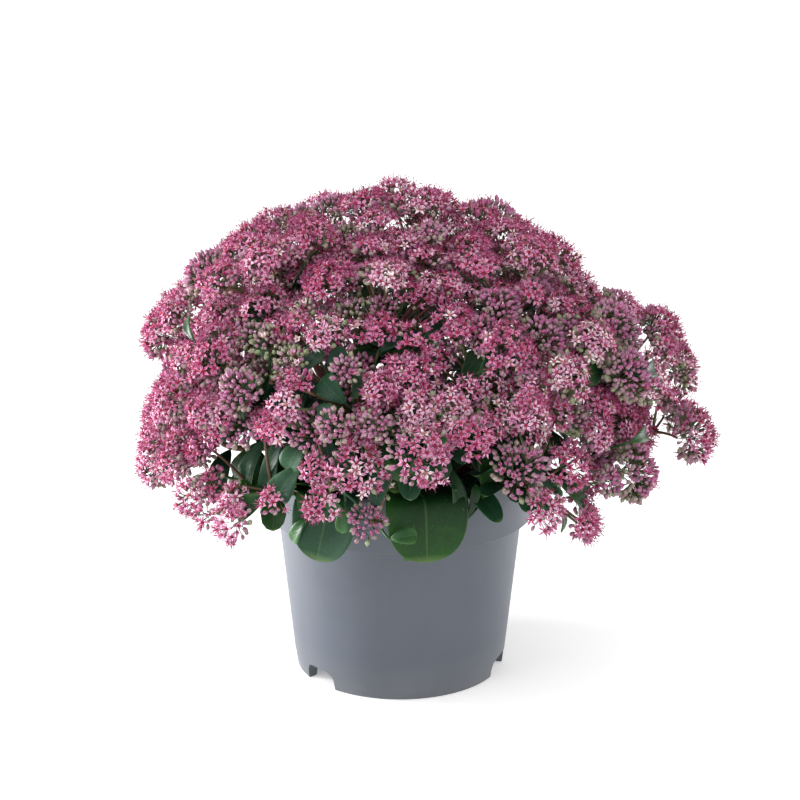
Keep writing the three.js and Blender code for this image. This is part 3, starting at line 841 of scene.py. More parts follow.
def petal_finish():
    """Petals from deep rose to nearly white: pale along the edges, with a darker vein and tip."""
    finish = Finish("petal", 0.55, 0.35)
    along, across, shade = chart_places(finish, PETAL)
    body = finish.ramp(shade, [(0.0, paint(162, 40, 92)), (0.3, paint(184, 74, 126)),
                               (0.6, paint(198, 114, 158)), (0.82, paint(218, 166, 196)),
                               (1.0, paint(234, 216, 218))])
    pale = finish.ramp(shade, [(0.0, paint(208, 124, 168)), (0.5, paint(232, 186, 214)),
                               (1.0, paint(248, 240, 240))])
    edge = finish.maths("ABSOLUTE", finish.maths("SUBTRACT", across, 0.5))
    skin = finish.mix(finish.between(edge, 0.06, 0.3, 0.0, 0.95), body, pale)
    skin = finish.mix(finish.between(along, 0.8, 1.0, 0.0, 0.5), skin, body)
    skin = finish.mix(finish.between(along, 0.34, 0.08, 0.0, 0.9), skin, paint(154, 22, 70))
    finish.colour(skin)
    return finish.material


def bud_finish():
    """Buds from greenish white to dusty pink, darker at the tip, with a painted highlight along the ribs."""
    finish = Finish("bud", 0.55, 0.35)
    along, across, shade = chart_places(finish, BUD)
    body = finish.ramp(shade, [(0.0, paint(122, 138, 98)), (0.25, paint(150, 132, 128)),
                               (0.5, paint(160, 104, 134)), (0.75, paint(154, 78, 122)),
                               (1.0, paint(144, 50, 100))])
    pale = finish.ramp(shade, [(0.0, paint(176, 188, 150)), (0.5, paint(204, 160, 188)),
                               (1.0, paint(200, 122, 168))])
    # Painted highlight: each rib is paler than the faces between the ribs, as if it caught the light.
    painted_rib_highlight = finish.maths("ABSOLUTE", finish.maths("SUBTRACT", across, 0.5))
    skin = finish.mix(finish.between(painted_rib_highlight, 0.1, 0.3, 0.0, 0.8), body, pale)
    skin = finish.mix(finish.between(along, 0.45, 0.2, 0.0, 0.6), skin, paint(126, 124, 94))
    skin = finish.mix(finish.between(along, 0.75, 1.0, 0.0, 0.45), skin, paint(140, 66, 100))
    finish.colour(skin)
    return finish.material


def pod_finish():
    """Seed pods from salmon to deep red, paler at the tips."""
    finish = Finish("seed_pod", 0.45, 0.45)
    along, _, shade = chart_places(finish, POD)
    body = finish.ramp(shade, [(0.0, paint(196, 142, 128)), (0.35, paint(176, 64, 94)),
                               (0.7, paint(166, 24, 60)), (1.0, paint(130, 12, 44))])
    finish.colour(finish.mix(finish.between(along, 0.6, 1.0, 0.0, 0.4), body, paint(206, 100, 136)))
    return finish.material


def green_finish():
    """The calyx and the fine stalks: bright to grey green, flushed red toward the flower."""
    finish = Finish("calyx", 0.5, 0.4)
    along, _, shade = chart_places(finish, GREEN)
    body = finish.ramp(shade, [(0.0, paint(70, 100, 44)), (0.5, paint(84, 110, 62)),
                               (1.0, paint(98, 104, 70))])
    finish.colour(finish.mix(finish.between(along, 0.4, 1.0, 0.0, 0.35), body, paint(122, 96, 74)))
    return finish.material


def twig_finish():
    """The head's branches: green-brown to dull red, with a painted highlight along one side."""
    finish = Finish("twig", 0.5, 0.4)
    _, across, shade = chart_places(finish, TWIG)
    body = finish.ramp(shade, [(0.0, paint(66, 84, 42)), (0.5, paint(82, 64, 42)),
                               (1.0, paint(94, 48, 42))])
    # Painted light: one side of each branch is paler, as if lit there.
    painted_lit_side = finish.maths("ABSOLUTE", finish.maths("SUBTRACT", across, 0.5))
    finish.colour(finish.mix(finish.between(painted_lit_side, 0.0, 0.3, 0.3, 0.0), body, paint(116, 104, 72)))
    return finish.material


def stamen_finish():
    """Magenta hairs under plum-coloured pollen cases."""
    finish = Finish("stamen", 0.6, 0.3)
    along, _, shade = chart_places(finish, STAMEN)
    hair = finish.ramp(shade, [(0.0, paint(194, 86, 142)), (1.0, paint(170, 30, 92))])
    case = finish.ramp(shade, [(0.0, paint(136, 60, 92)), (1.0, paint(74, 18, 46))])
    finish.colour(finish.mix(finish.between(along, 0.7, 0.82), hair, case))
    return finish.material


def flower_shapes():
    """The patterns of open flowers, half-open ones and buds, each kind a little different."""
    rng = np.random.default_rng(5)
    stars = [star(rng, 0.15 + 0.4 * i / STAR_KINDS, 0.12) for i in range(STAR_KINDS)]
    cups = [star(rng, 0.85 + 0.2 * i / CUP_KINDS, 0.02) for i in range(CUP_KINDS)]
    buds = [bud(rng) for _ in range(BUD_KINDS)]
    return stars, cups, buds


FLOWER_FINISHES = [petal_finish(), bud_finish(), pod_finish(), green_finish(), twig_finish(),
                   stamen_finish()]
STARS, CUPS, BUDS = flower_shapes()


# The clusters. Each is a small dome of florets on fine forked stalks. Most are in full flower, some
# are still closed and dusty pink, and a few are young and greenish white or already pale.

# A mood gives the shares of open and half-open flowers, the shades of the petals, buds and pods from
# 0 to 1, and the spacing of the flowers in millimetres. A noted mood belongs to the clusters near an
# azimuth and a drop, and an uneven one has its size changed and is lifted by some millimetres.
MOODS = {
    "rose": dict(open=0.7, half=0.14, petals=(0.15, 0.8), buds=(0.45, 0.9), pods=(0.3, 1.0), space=4.8),
    "hot": dict(open=0.66, half=0.2, petals=(0.0, 0.55), buds=(0.6, 1.0), pods=(0.5, 1.0), space=4.7),
    "pale": dict(open=0.74, half=0.12, petals=(0.45, 0.95), buds=(0.3, 0.6), pods=(0.0, 0.7), space=4.9),
    "dusty": dict(open=0.0, half=0.05, petals=(0.35, 0.6), buds=(0.4, 0.8), pods=(0.3, 0.6), space=3.5),
    "green": dict(open=0.0, half=0.06, petals=(0.7, 1.0), buds=(0.0, 0.6), pods=(0.0, 0.3), space=3.9),
}
MOOD_SHARES = (("rose", 0.46), ("hot", 0.24), ("pale", 0.16), ("dusty", 0.13), ("green", 0.01))
NOTED_MOODS = [
    (-10, 48, "dusty"), (-36, 58, "dusty"), (-18, 66, "dusty"), (-8, 66, "dusty"), (25, 74, "dusty"),
    (32, 38, "dusty"), (40, 46, "dusty"), (55, 78, "dusty"), (-28, 38, "green"), (-42, 50, "green"),
    (-90, 70, "green"), (30, 22, "pale"), (25, 56, "pale"), (-18, 75, "rose"),
    (-20, 52, "hot"), (0, 40, "hot"), (5, 70, "rose"), (8, 58, "pale"), (64, 82, "dusty"),
    (-12, 90, "dusty"), (81, 82, "hot"),
]
UNEVEN = [
    (-16, 82, 0.78, 7.0), (-4, 79, 0.45, 0.0), (-36, 90, 0.85, 9.0), (47, 94, 0.85, 5.0),
    (-53, 88, 0.9, 3.0), (81, 82, 1.2, 2.0), (89, 78, 1.15, 0.0),
]
NOTED_ASIDE = 7
NOTED_DOWN = 5
UNEVEN_WITHIN = 3
LEAN = 0.7
STAGGER = 4.5
BACK_SPACE = 1.17
BACK_FROM = 30.0
SIDE_DEPTH = 60.0
LATE_SPACE = 1.07
GOLDEN_TURN = math.pi * (3 - math.sqrt(5))
FORKS = 8
FORKS_LEAST = 4
FORK_REACH = 0.6
FORK_RADIUS = 0.75
TWIG_RADIUS = 1.25
TWIG_TAPER = 0.35
STALK_RADIUS = 0.4
FLOWERS_LEAST = 6
INSET_ASIDE = 0.3
INSET_ABOVE = 1.2
LUMPS = 0.1
YOUNG_FROM = 1.0
YOUNG_SPAN = 0.5
YOUNG_CLOSED = 0.6
YOUNG_PALER = 0.15
YOUNG_GREENER = 0.38
YOUNG_SWELL = 0.25
CREAM_SHARE = 0.07
CREAM_PALER = 0.35
WIDE = 92.0
SIDE_FROM = 90.0
SIDE_SPAN = 80.0
SIDE_INWARD = 7.0
SIDE_WIDE = 46.0
SIDE_HEIGHT = 0.15
FOOT_DEPTHS = (1.2, 2.2, 2.8)

# For open flowers, half-open ones and buds: the patterns, their size, how much it varies, how deep
# they are set, and how much larger they are low on the cluster.
FLOWER_KINDS = [
    (STARS, FLORET_RADIUS, (0.84, 1.14), 0.0, 0.0),
    (CUPS, FLORET_RADIUS, (0.85, 1.05), 1.0, 0.0),
    (BUDS, BUD_LENGTH, (0.8, 1.15), 2.2, YOUNG_SWELL),
]


def mood_of(cluster, rng):
    """The mood noted for the cluster's place, or else one drawn by the shares."""
    drawn = rng.random()
    for azimuth, drop, mood in NOTED_MOODS:
        if abs(cluster.azimuth - azimuth) < NOTED_ASIDE and abs(cluster.drop - drop) < NOTED_DOWN:
            return mood
    for mood, share in MOOD_SHARES:
        drawn -= share
        if drawn < 0:
            return mood
    return "rose"


def how_far_aside(centre):
    """From 0 in the middle of the plant to 1 at its left and right edges."""
    return np.clip((abs(centre[0]) - SIDE_FROM) / SIDE_SPAN, 0, 1) * (centre[1] < SIDE_DEPTH)


def as_grown(cluster, rng):
    """The cluster turned toward the light at the side of the plant and moved a little in or out. A few
    grow smaller or larger than the rest, or stand a little higher."""
    outward = unit(cluster.centre * np.array([1, 1, 0]))
    lean = LEAN * math.sin(math.radians(min(cluster.drop, 90))) ** 2
    direction = unit(cluster.direction + lean * outward)
    centre = cluster.centre + cluster.direction * rng.uniform(-STAGGER, STAGGER)
    centre = centre - outward * SIDE_INWARD * how_far_aside(centre)
    for azimuth, drop, share, lift in UNEVEN:
        off = max(abs(cluster.azimuth - azimuth), abs(cluster.drop - drop))
        if off < UNEVEN_WITHIN:
            return Cluster(centre + UP * lift, direction, cluster.radius * share)
    return Cluster(centre, direction, cluster.radius)


def youth(tilt):
    """From 0 on top of a cluster to 1 low on its side, where the flowers are younger."""
    return np.clip((tilt - YOUNG_FROM) / YOUNG_SPAN, 0, 1)


def shade_rows(tilt, mood, rng):
    """For each flower, the row of each kind of part. Flowers low on the cluster are younger."""
    count = len(tilt)
    rows = np.zeros((count, 6))
    low_down = youth(tilt)
    cream = rng.random(count) < CREAM_SHARE
    for slot, key in ((PETAL, "petals"), (BUD, "buds"), (POD, "pods")):
        low, high = MOODS[mood][key]
        shade = rng.uniform(low, high, count)
        if slot == PETAL:
            shade = shade + CREAM_PALER * cream + YOUNG_PALER * low_down
        if slot == BUD:
            shade = shade - YOUNG_GREENER * low_down
        if slot == POD:
            shade = np.where(cream, 0.0, shade)
        rows[:, slot] = FIRST_ROW[slot] + np.round(np.clip(shade, 0, 1) * (SHADES[slot] - 1))
    for slot in (GREEN, TWIG, STAMEN):
        rows[:, slot] = FIRST_ROW[slot] + rng.integers(0, SHADES[slot], count)
    return rows


def branch_out(tissue, cluster, root, height, rng):
    """The branch of a cluster from the hub and its forks. Returns the tips of the forks."""
    radius, axis = cluster.radius, cluster.direction
    first, second = (v[0] for v in square_to(axis))
    base = cluster.centre - axis * height * 0.75
    middle = (root + base) / 2 + unit(cluster.centre - root) * 2 + rng.normal(0, 1.2, 3)
    shares = np.linspace(0, 1, 5)
    branch = bezier(root, (root + middle) / 2, middle, base)(shares)
    twig_row = FIRST_ROW[TWIG] + rng.integers(0, SHADES[TWIG])
    tube(tissue, branch, TWIG_RADIUS - TWIG_TAPER * shares, 5, twig_row, ROWS, TWIG)

    forks = max(FORKS_LEAST, int(round(FORKS * radius / CLUSTER_RADIUS)))
    turns = np.arange(forks) * GOLDEN_TURN + rng.uniform(0, 6)
    outs = radius * FORK_REACH * np.sqrt((np.arange(forks) + 0.5) / forks)
    fork_tips = (base + axis * (height * 0.8 - outs[:, None] * 0.25)
                 + first * (outs * np.cos(turns))[:, None] + second * (outs * np.sin(turns))[:, None])
    stalks(tissue, np.repeat(base[None], forks, 0) - axis * 2, fork_tips, FORK_RADIUS, twig_row, TWIG)
    return fork_tips


def covered(wide):
    """The share of a half ball's surface, from its top, within an angle in degrees."""
    return 1 - math.cos(math.radians(wide))


def flower_places(cluster, height, wide, space, rng):
    """Where a cluster's flowers sit, the way they face, and their angle from its top in radians."""
    radius, axis = cluster.radius, cluster.direction
    first, second = (v[0] for v in square_to(axis))
    area = 2 * math.pi * radius * (radius * 0.45 + height * 0.55) * covered(wide) / covered(WIDE)
    count = max(FLOWERS_LEAST, int(area / space**2))
    order = np.arange(count) + 0.5
    tilt = np.arccos(1 - order / count * covered(wide))
    turn = order * GOLDEN_TURN + rng.uniform(0, 6)
    tilt += rng.normal(0, 0.06, count)
    turn += rng.normal(0, 0.14, count)
    lumps = 1 + LUMPS * np.sin(turn * 3 + rng.uniform(0, 6)) + rng.normal(0, 0.06, count)
    sideways = ((radius - INSET_ASIDE) * lumps * np.sin(tilt))[:, None]
    around = first * np.cos(turn)[:, None] + second * np.sin(turn)[:, None]
    upward = ((height - INSET_ABOVE) * lumps * np.cos(tilt))[:, None]
    origins = cluster.centre + around * sideways + axis * upward
    normals = around * np.sin(tilt)[:, None] * 0.8 + axis * (np.cos(tilt)[:, None] + 0.25)
    normals += 0.15 * UP + rng.normal(0, 0.15, (count, 3))
    normals /= np.linalg.norm(normals, axis=1, keepdims=True)
    return origins, normals, tilt


def grow_cluster(tissue, cluster, root, mood, rng, looser=1.0):
    """One cluster: its branch and forks, its flowers, and the fine stalks that carry them."""
    sideness = how_far_aside(cluster.centre)
    height = CLUSTER_HEIGHT * cluster.radius / CLUSTER_RADIUS * (1 + SIDE_HEIGHT * sideness)
    fork_tips = branch_out(tissue, cluster, root, height, rng)
    space = MOODS[mood]["space"] * looser * (BACK_SPACE if cluster.centre[1] > BACK_FROM else 1.0)
    wide = WIDE + SIDE_WIDE * sideness
    origins, normals, tilt = flower_places(cluster, height, wide, space, rng)
    count = len(origins)

    nearest = np.argmin(np.linalg.norm(origins[:, None] - fork_tips[None], axis=2), axis=1)
    rows = shade_rows(tilt, mood, rng)
    low_down = youth(tilt)
    state = rng.random(count) + YOUNG_CLOSED * low_down
    opened = state < MOODS[mood]["open"]
    half = ~opened & (state < MOODS[mood]["open"] + MOODS[mood]["half"])
    closed = ~opened & ~half
    kind = rng.integers(0, 60, count)
    for (shapes, length, varies, sunk, swell), here in zip(FLOWER_KINDS, (opened, half, closed)):
        for i, shape in enumerate(shapes):
            chosen = here & (kind % len(shapes) == i)
            sizes = length * rng.uniform(*varies, chosen.sum()) * (1 + swell * low_down[chosen])
            repeat(tissue, shape, origins[chosen] - normals[chosen] * sunk, normals[chosen], sizes,
                   rows[chosen], rng)
    depths = np.select([opened, half], FOOT_DEPTHS[:2], FOOT_DEPTHS[2])
    feet = origins - normals * depths[:, None]
    green_row = FIRST_ROW[GREEN] + rng.integers(0, SHADES[GREEN])
    stalks(tissue, fork_tips[nearest], feet, STALK_RADIUS, green_row, GREEN)


# The late clusters. Small clusters on branches of their own close the gaps between the large ones,
# a little below them. Each is as large as its gap allows, and none hangs in front of the pot.
LATE_TRIES = 6000
LATE_REACH = (0.78, 0.91)
LATE_GAP = 5.0
LATE_RADIUS = 12.5
FRONT_LIMIT = 66.0
SIDE_LIMIT = 84.0
FRONT_MIDDLE = 5.0
FRONT_HALF = 48.0
BRANCH_LIMIT = 85.0
LATE_OVERLAP = 3.5
CLEARINGS = [
    (31, 30), (-23, 50), (-4, 45), (53, 58), (21, 51), (-17, 61), (-37, 62), (-4, 74), (1, 70), (15, 74),
    (-25, 74), (-49, 27), (-78, 53), (-85, 52), (-120, 11), (7, 35), (54, 41), (65, 58), (-48, 78), (26, 78),
]
CLEARING_SIZE = 5.5


def in_clearing(azimuth, drop):
    """Whether a place on the dome is one of the gaps where leaves and stems show."""
    for turn, fall in CLEARINGS:
        aside = abs(azimuth - turn) * math.sin(math.radians(drop))
        if aside < CLEARING_SIZE and abs(drop - fall) < CLEARING_SIZE:
            return True
    return False


def late_clusters():
    """For each main head, the small clusters that it carries in the gaps near it."""
    rng = np.random.default_rng(77)
    centres = [c.centre for head in every_head for c in head.clusters]
    radii = [c.radius for head in every_head for c in head.clusters]
    hubs = np.array([head.root for head in main_heads])
    found = {i: [] for i in range(len(main_heads))}
    for _ in range(LATE_TRIES):
        azimuth = rng.uniform(-180, 180)
        drop = math.degrees(math.acos(1 - rng.random()))
        reach = rng.uniform(*LATE_REACH)
        lowest = FRONT_LIMIT if abs(azimuth - FRONT_MIDDLE) < FRONT_HALF else SIDE_LIMIT
        if drop > lowest or in_clearing(azimuth, drop):
            continue
        spot = place(azimuth, DOME_RADIUS * reach * math.sin(math.radians(drop)),
                     DOME_BASE + DOME_HEIGHT * reach * math.cos(math.radians(drop)))
        gaps = np.linalg.norm(np.array(centres) - spot, axis=1) - np.array(radii)
        if gaps.min() < LATE_GAP:
            continue
        owner = int(np.argmin(np.linalg.norm(hubs - spot, axis=1)))
        if np.linalg.norm(hubs[owner] - spot) > BRANCH_LIMIT:
            continue
        radius = min(LATE_RADIUS, gaps.min() + LATE_OVERLAP)
        direction = unit(unit(spot - hubs[owner]) + main_heads[owner].axis + CLUSTER_LIFT * UP)
        found[owner].append(Cluster(spot, direction, radius))
        centres.append(spot)
        radii.append(radius)
    return found


def build_head(name, head, node, late=(), branch=None):
    """One head as one piece: its hub, its clusters, and the branch under it if it is a side shoot."""
    rng = np.random.default_rng(1000 + head.seed)
    tissue = Tissue()
    knob = head.hub + np.outer((0, 0.5, 1), head.axis * HUB_LENGTH)
    tube(tissue, knob, (2.7, 3.3, 1.5), 8, FIRST_ROW[TWIG] + 2, ROWS, TWIG)
    for cluster in head.clusters:
        grow_cluster(tissue, as_grown(cluster, rng), head.root, mood_of(cluster, rng), rng)
    for cluster in late:
        grow_cluster(tissue, as_grown(cluster, rng), head.root, mood_of(cluster, rng), rng, LATE_SPACE)
    if branch is not None:
        shares = np.linspace(0, 1, SHOOT_STEPS)
        radii = SHOOT_RADIUS * (1 - SHOOT_TAPER * shares)
        tube(tissue, branch(shares), radii, 8, FIRST_ROW[TWIG] + 3, ROWS, TWIG)
    bloom = tissue.piece(name, FLOWER_FINISHES, "OFBake")
    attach(bloom, "root")
    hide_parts(node)


late = late_clusters()
for number, head in enumerate(main_heads, 1):
    build_head(f"bloom_{number:02d}", head, f"flower_head_{number:02d}", late[number - 1])


# The side shoots. Thinner branches that leave a stem partway up and carry a small head of their own:
# over the rim at the left and in front, and on long red stalks at the far right.
SHOOT_RADIUS = 1.9
SHOOT_STEPS = 24
SHOOT_TAPER = 0.2


def leave_stem(curve, along, target):
    """Where a shoot or a leaf leaves its stem, and the direction straight off the bark."""
    knee = curve(along)
    tangent = unit(curve(along + 0.001) - curve(along - 0.001))
    away = target - knee
    away = unit(away - tangent * np.dot(away, tangent))
    return knee + away * (STEM_RADIUS + GAP), away


def shoot_branch(head, parent, along):
    """The curve of a side shoot's branch, which sags from its stem and rises into its head."""
    start, away = leave_stem(stem_curves[parent], along, head.root)
    reach = np.linalg.norm(start - head.root) / 3
    return bezier(start, start + away * reach,
                  head.root - head.axis * reach * 0.4 + UP * reach * 0.5, head.root)


shoot_curves = [shoot_branch(head, parent, along)
                for head, (parent, along, _) in zip(shoot_heads, SIDE_SHOOTS)]
for number, (head, curve) in enumerate(zip(shoot_heads, shoot_curves), 1):
    build_head(f"shoot_bloom_{number:02d}", head, f"side_shoot_{number:02d}", (), curve)


# The leaves. Fleshy, blue-green, egg-shaped blades with a soft paler edge and a faint midrib. The big
# ones hang over the rim in front. Each is one smooth cushion-edged blade on a short stalk.
LEAF_THICKNESS = 2.4
LEAF_ROWS = 36
LEAF_COLUMNS = 15
LEAF_CUP = 0.12
LEAF_WAVE = 0.012
BIG_LEAF = 30
BIG_BLUNT = 4.0
SMALL_BLUNT = 2.6
LEAF_BASE_WIDTH = 0.36
LEAF_TIP_WIDTH = 1.07
BLUISH = ("leaf_front_left", "leaf_right_round", "leaf_back_left", "leaf_right_hanging")
LEAVES = [
    ("leaf_front_right", 15, 0.13, 64, [(6, 75, 158.5), (8, 94, 159), (9, 107, 153), (9, 115, 118)]),
    ("leaf_front_left", 14, 0.13, 55,
     [(-29, 72, 158.5), (-27, 94, 158.5), (-26, 107, 152), (-29, 115, 114)]),
    ("leaf_front_upright", 8, 0.3, 24, [(-2, 82, 176), (-1, 100, 182), (-2, 114, 167)]),
    ("leaf_left_low", 13, 0.16, 28, [(-62, 84, 157), (-60, 105, 156), (-59, 120, 149), (-59, 134, 136)]),
    ("leaf_left_high", 14, 0.3, 22, [(-31, 90, 175), (-30, 108, 178), (-30, 118, 170), (-31, 124, 150)]),
    ("leaf_right_narrow", 16, 0.13, 16, [(48, 78, 160), (51, 98, 160), (53, 110, 151), (55, 120, 130)]),
    ("leaf_right_round", 16, 0.1, 22, [(30, 72, 158), (29, 94, 158.5), (31, 108, 154), (33, 122, 142)]),
    ("leaf_right_hanging", 10, 0.7, 24, [(78, 115, 195), (78, 130, 188), (78, 138, 170), (79, 140, 136)]),
    ("leaf_back_left", 19, 0.12, 54, [(214, 74, 160), (225, 94, 159), (227, 108, 152), (227, 115, 118)]),
    ("leaf_back_right", 18, 0.12, 54, [(162, 74, 160), (174, 94, 159), (176, 108, 152), (176, 115, 118)]),
]


def smooth_path(stops):
    """A smooth curve through every stop, as a function of the share of its run."""
    stops = np.array(stops, float)
    padded = np.concatenate([[2 * stops[0] - stops[1]], stops, [2 * stops[-1] - stops[-2]]])

    def at(share):
        spot = np.clip(np.asarray(share, float), 0, 1) * (len(stops) - 1)
        lane = np.minimum(spot.astype(int), len(stops) - 2)
        t = (spot - lane)[..., None]
        a, b, c, d = (padded[lane + i] for i in range(4))
        return 0.5 * (2 * b + (c - a) * t + (2 * a - 5 * b + 4 * c - d) * t**2
                      + (3 * b - a - 3 * c + d) * t**3)
    return at


def blade(tissue, path, across, width, thickness, rows, columns, cup, wave, rng, blunt=2.0):
    """A leaf as a closed blade: top and underside of a grid that meet in a rounded edge. The tip is
    rounder with a larger blunt."""
    shares = (1 - np.cos(np.linspace(0, math.pi, rows))) / 2
    centre = path(shares)
    tangent = np.gradient(centre, axis=0)
    tangent /= np.linalg.norm(tangent, axis=1, keepdims=True)
    side = across - tangent * (tangent @ across)[:, None]
    side /= np.linalg.norm(side, axis=1, keepdims=True)
    normal = np.cross(tangent, side)
    half = width / 2 * (LEAF_BASE_WIDTH + (LEAF_TIP_WIDTH - LEAF_BASE_WIDTH) * shares)
    power = np.where(shares > 0.5, blunt, 2.0)
    half *= np.sqrt(np.clip(1 - np.abs(1 - 2 * shares) ** power, 0.0, 1))
    half = np.maximum(half, 0.35)
    ripple = wave * np.sin(shares * 9 + rng.uniform(0, 6))
    lanes = np.sin(np.linspace(-math.pi / 2, math.pi / 2, columns))
    plump = thickness / 2 * np.sqrt(np.clip(1 - lanes**2, 0, 1)) ** 0.7
    plump = plump * (1 - 0.35 * np.exp(-((lanes / 0.1) ** 2)))
    fade = np.clip(np.sin(math.pi * np.clip(shares, 0.03, 0.985)) * 3, 0.25, 1)
    sheet = (centre[:, None] + side[:, None] * (half[:, None] * lanes)[..., None]
             + normal[:, None] * (cup * half[:, None] * lanes**2
                                  + ripple[:, None] * np.abs(lanes) ** 3)[..., None])
    swell = normal[:, None] * (fade[:, None] * plump)[..., None]
    top, under = (sheet + swell).reshape(-1, 3), (sheet - swell).reshape(-1, 3)
    size = rows * columns
    faces, spots = [], []
    for i in range(rows - 1):
        for j in range(columns - 1):
            a, b = i * columns + j, i * columns + j + 1
            c, d = a + columns, b + columns
            u0, u1 = j / (columns - 1), (j + 1) / (columns - 1)
            v0, v1 = shares[i], shares[i + 1]
            faces += [(a, b, d), (a, d, c), (size + b, size + a, size + c), (size + b, size + c, size + d)]
            spots += [[(u0, v0), (u1, v0), (u1, v1)], [(u0, v0), (u1, v1), (u0, v1)],
                      [(u1, v0), (u0, v0), (u0, v1)], [(u1, v0), (u0, v1), (u1, v1)]]
    for end in (0, rows - 1):
        for j in range(columns - 1):
            a, b = end * columns + j, end * columns + j + 1
            u0, u1, v = j / (columns - 1), (j + 1) / (columns - 1), end / (rows - 1)
            quad = (a, size + a, size + b, b) if end == 0 else (a, b, size + b, size + a)
            corners = {a: u0, size + a: u0, b: u1, size + b: u1}
            for trio in ((quad[0], quad[1], quad[2]), (quad[0], quad[2], quad[3])):
                faces.append(trio)
                spots.append([(corners[k], v) for k in trio])
    tissue.add(np.concatenate([top, under]), faces, spots, 0)


def leaf_finish(name, deep, mid, fresh_and_lit, edge):
    """Waxy leaf skin: mottled, with painted light toward the tip and along one side, a pale rim, a fine
    midrib and faint veins.
    """
    finish = Finish(name, 0.5, 0.25)
    spot = finish.node("ShaderNodeUVMap", uv_map="blade")
    parts = finish.node("ShaderNodeSeparateXYZ")
    finish.feed(parts.inputs[0], spot.outputs[0])
    across, along = parts.outputs[0], parts.outputs[1]
    broad = finish.noise(28, 4.0)
    body = finish.ramp(broad, [(0.3, deep), (0.52, mid), (0.72, fresh_and_lit)])
    # Painted light: the blade is lighter toward its tip and along one side, as if lit there.
    body = finish.mix(finish.between(along, 0.6, 1.0, 0.0, 0.5), body, fresh_and_lit)
    body = finish.mix(finish.between(across, 0.42, 0.08, 0.0, 0.6), body, fresh_and_lit)
    off = finish.maths("ABSOLUTE", finish.maths("SUBTRACT", across, 0.5))
    veins = finish.node("ShaderNodeTexWave", wave_type="BANDS", bands_direction="DIAGONAL")
    veins.inputs["Scale"].default_value = 4.0
    veins.inputs["Distortion"].default_value = 3.0
    finish.feed(veins.inputs["Vector"], spot.outputs[0])
    body = finish.mix(finish.between(veins.outputs[1], 0.75, 1.0, 0.0, 0.12), body, fresh_and_lit)
    body = finish.mix(finish.between(off, 0.003, 0.014, 0.26, 0.0), body, edge)
    rim = finish.maths("MAXIMUM", finish.between(off, 0.455, 0.5),
                       finish.between(along, 0.965, 1.0))
    body = finish.mix(finish.maths("MULTIPLY", rim, 0.8), body, edge)
    specks = finish.between(finish.noise(700, 1.0), 0.7, 0.76, 0.0, 0.35)
    finish.colour(finish.mix(specks, body, edge))
    fine = finish.noise(380, 3.0)
    finish.feed(finish.shader.inputs["Roughness"], finish.between(broad, 0.2, 0.8, 0.36, 0.52))
    finish.bump(finish.maths("ADD", fine, finish.maths("MULTIPLY", veins.outputs[1], 0.25)), 0.2, 0.0008)
    return finish.material


BLUE_LEAF = leaf_finish("leaf_blue_green", paint(10, 40, 29), paint(17, 53, 37), paint(34, 76, 44),
                        paint(96, 124, 80))
GREEN_LEAF = leaf_finish("leaf_green", paint(4, 30, 16), paint(8, 44, 17), paint(34, 80, 22),
                         paint(96, 124, 68))
PALE_LEAF = leaf_finish("leaf_young", paint(18, 58, 24), paint(30, 76, 32), paint(56, 102, 42),
                        paint(110, 138, 80))


def build_leaf(name, parent, along, width, stops):
    stops = [place(*stop) for stop in stops]
    start, _ = leave_stem(stem_curves[parent], along, stops[0])
    outward = (stops[-1] - start) * np.array([1, 1, 0])
    across = unit(np.cross(UP, outward))
    rng = np.random.default_rng(parent * 10 + width)
    tissue = Tissue()
    blade(tissue, smooth_path([start] + stops), across, width, LEAF_THICKNESS, LEAF_ROWS, LEAF_COLUMNS,
          LEAF_CUP, LEAF_WAVE * width, rng, BIG_BLUNT if width > BIG_LEAF else SMALL_BLUNT)
    finish = BLUE_LEAF if name in BLUISH else GREEN_LEAF
    leaf = tissue.piece(f"{name}_blade", [finish], "blade")
    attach(leaf, "root")
    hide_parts(name)


for name, parent, along, width, stops in LEAVES:
    build_leaf(name, parent, along, width, stops)


# The small foliage. Pairs of leaves along each stem and a whorl of them under each head, which close
# the gaps of the dome with dark green. One piece for each stem.
PAIR_PLACES = (0.36, 0.48, 0.6, 0.72, 0.82, 0.92)
PAIR_LENGTH = (26, 38)
PAIR_WIDTH = (0.55, 0.7)
PAIR_DROOP = (0.1, 0.5)
WHORL = 6
WHORL_LENGTH = (24, 37)
WHORL_WIDTH = (0.6, 0.75)
WHORL_DROOP = (0, 0.3)
WHORL_RISE = (0.3, 0.7)
WHORL_DEPTH = (0, 8)
OFF_STEM = 2.4
OFF_HUB = 2.6
SMALL_THICKNESS = 1.6
SMALL_ROWS = 9
SMALL_COLUMNS = 5
SMALL_CUP = 0.2
SMALL_WAVE = 0.03


def small_leaf(tissue, foot, outward, length, width, droop, rng):
    """A leaf from its foot outward, rising a little and then bending down toward its tip."""
    across = unit(np.cross(UP, outward) + rng.normal(0, 0.15, 3))
    stops = [foot, foot + outward * length * 0.35 + UP * length * 0.08,
             foot + outward * length * 0.7 + UP * length * (0.1 - droop * 0.3),
             foot + outward * length * 0.98 + UP * length * (0.04 - droop * 0.8)]
    blade(tissue, smooth_path(stops), across, width, SMALL_THICKNESS, SMALL_ROWS, SMALL_COLUMNS,
          SMALL_CUP, SMALL_WAVE * width, rng)


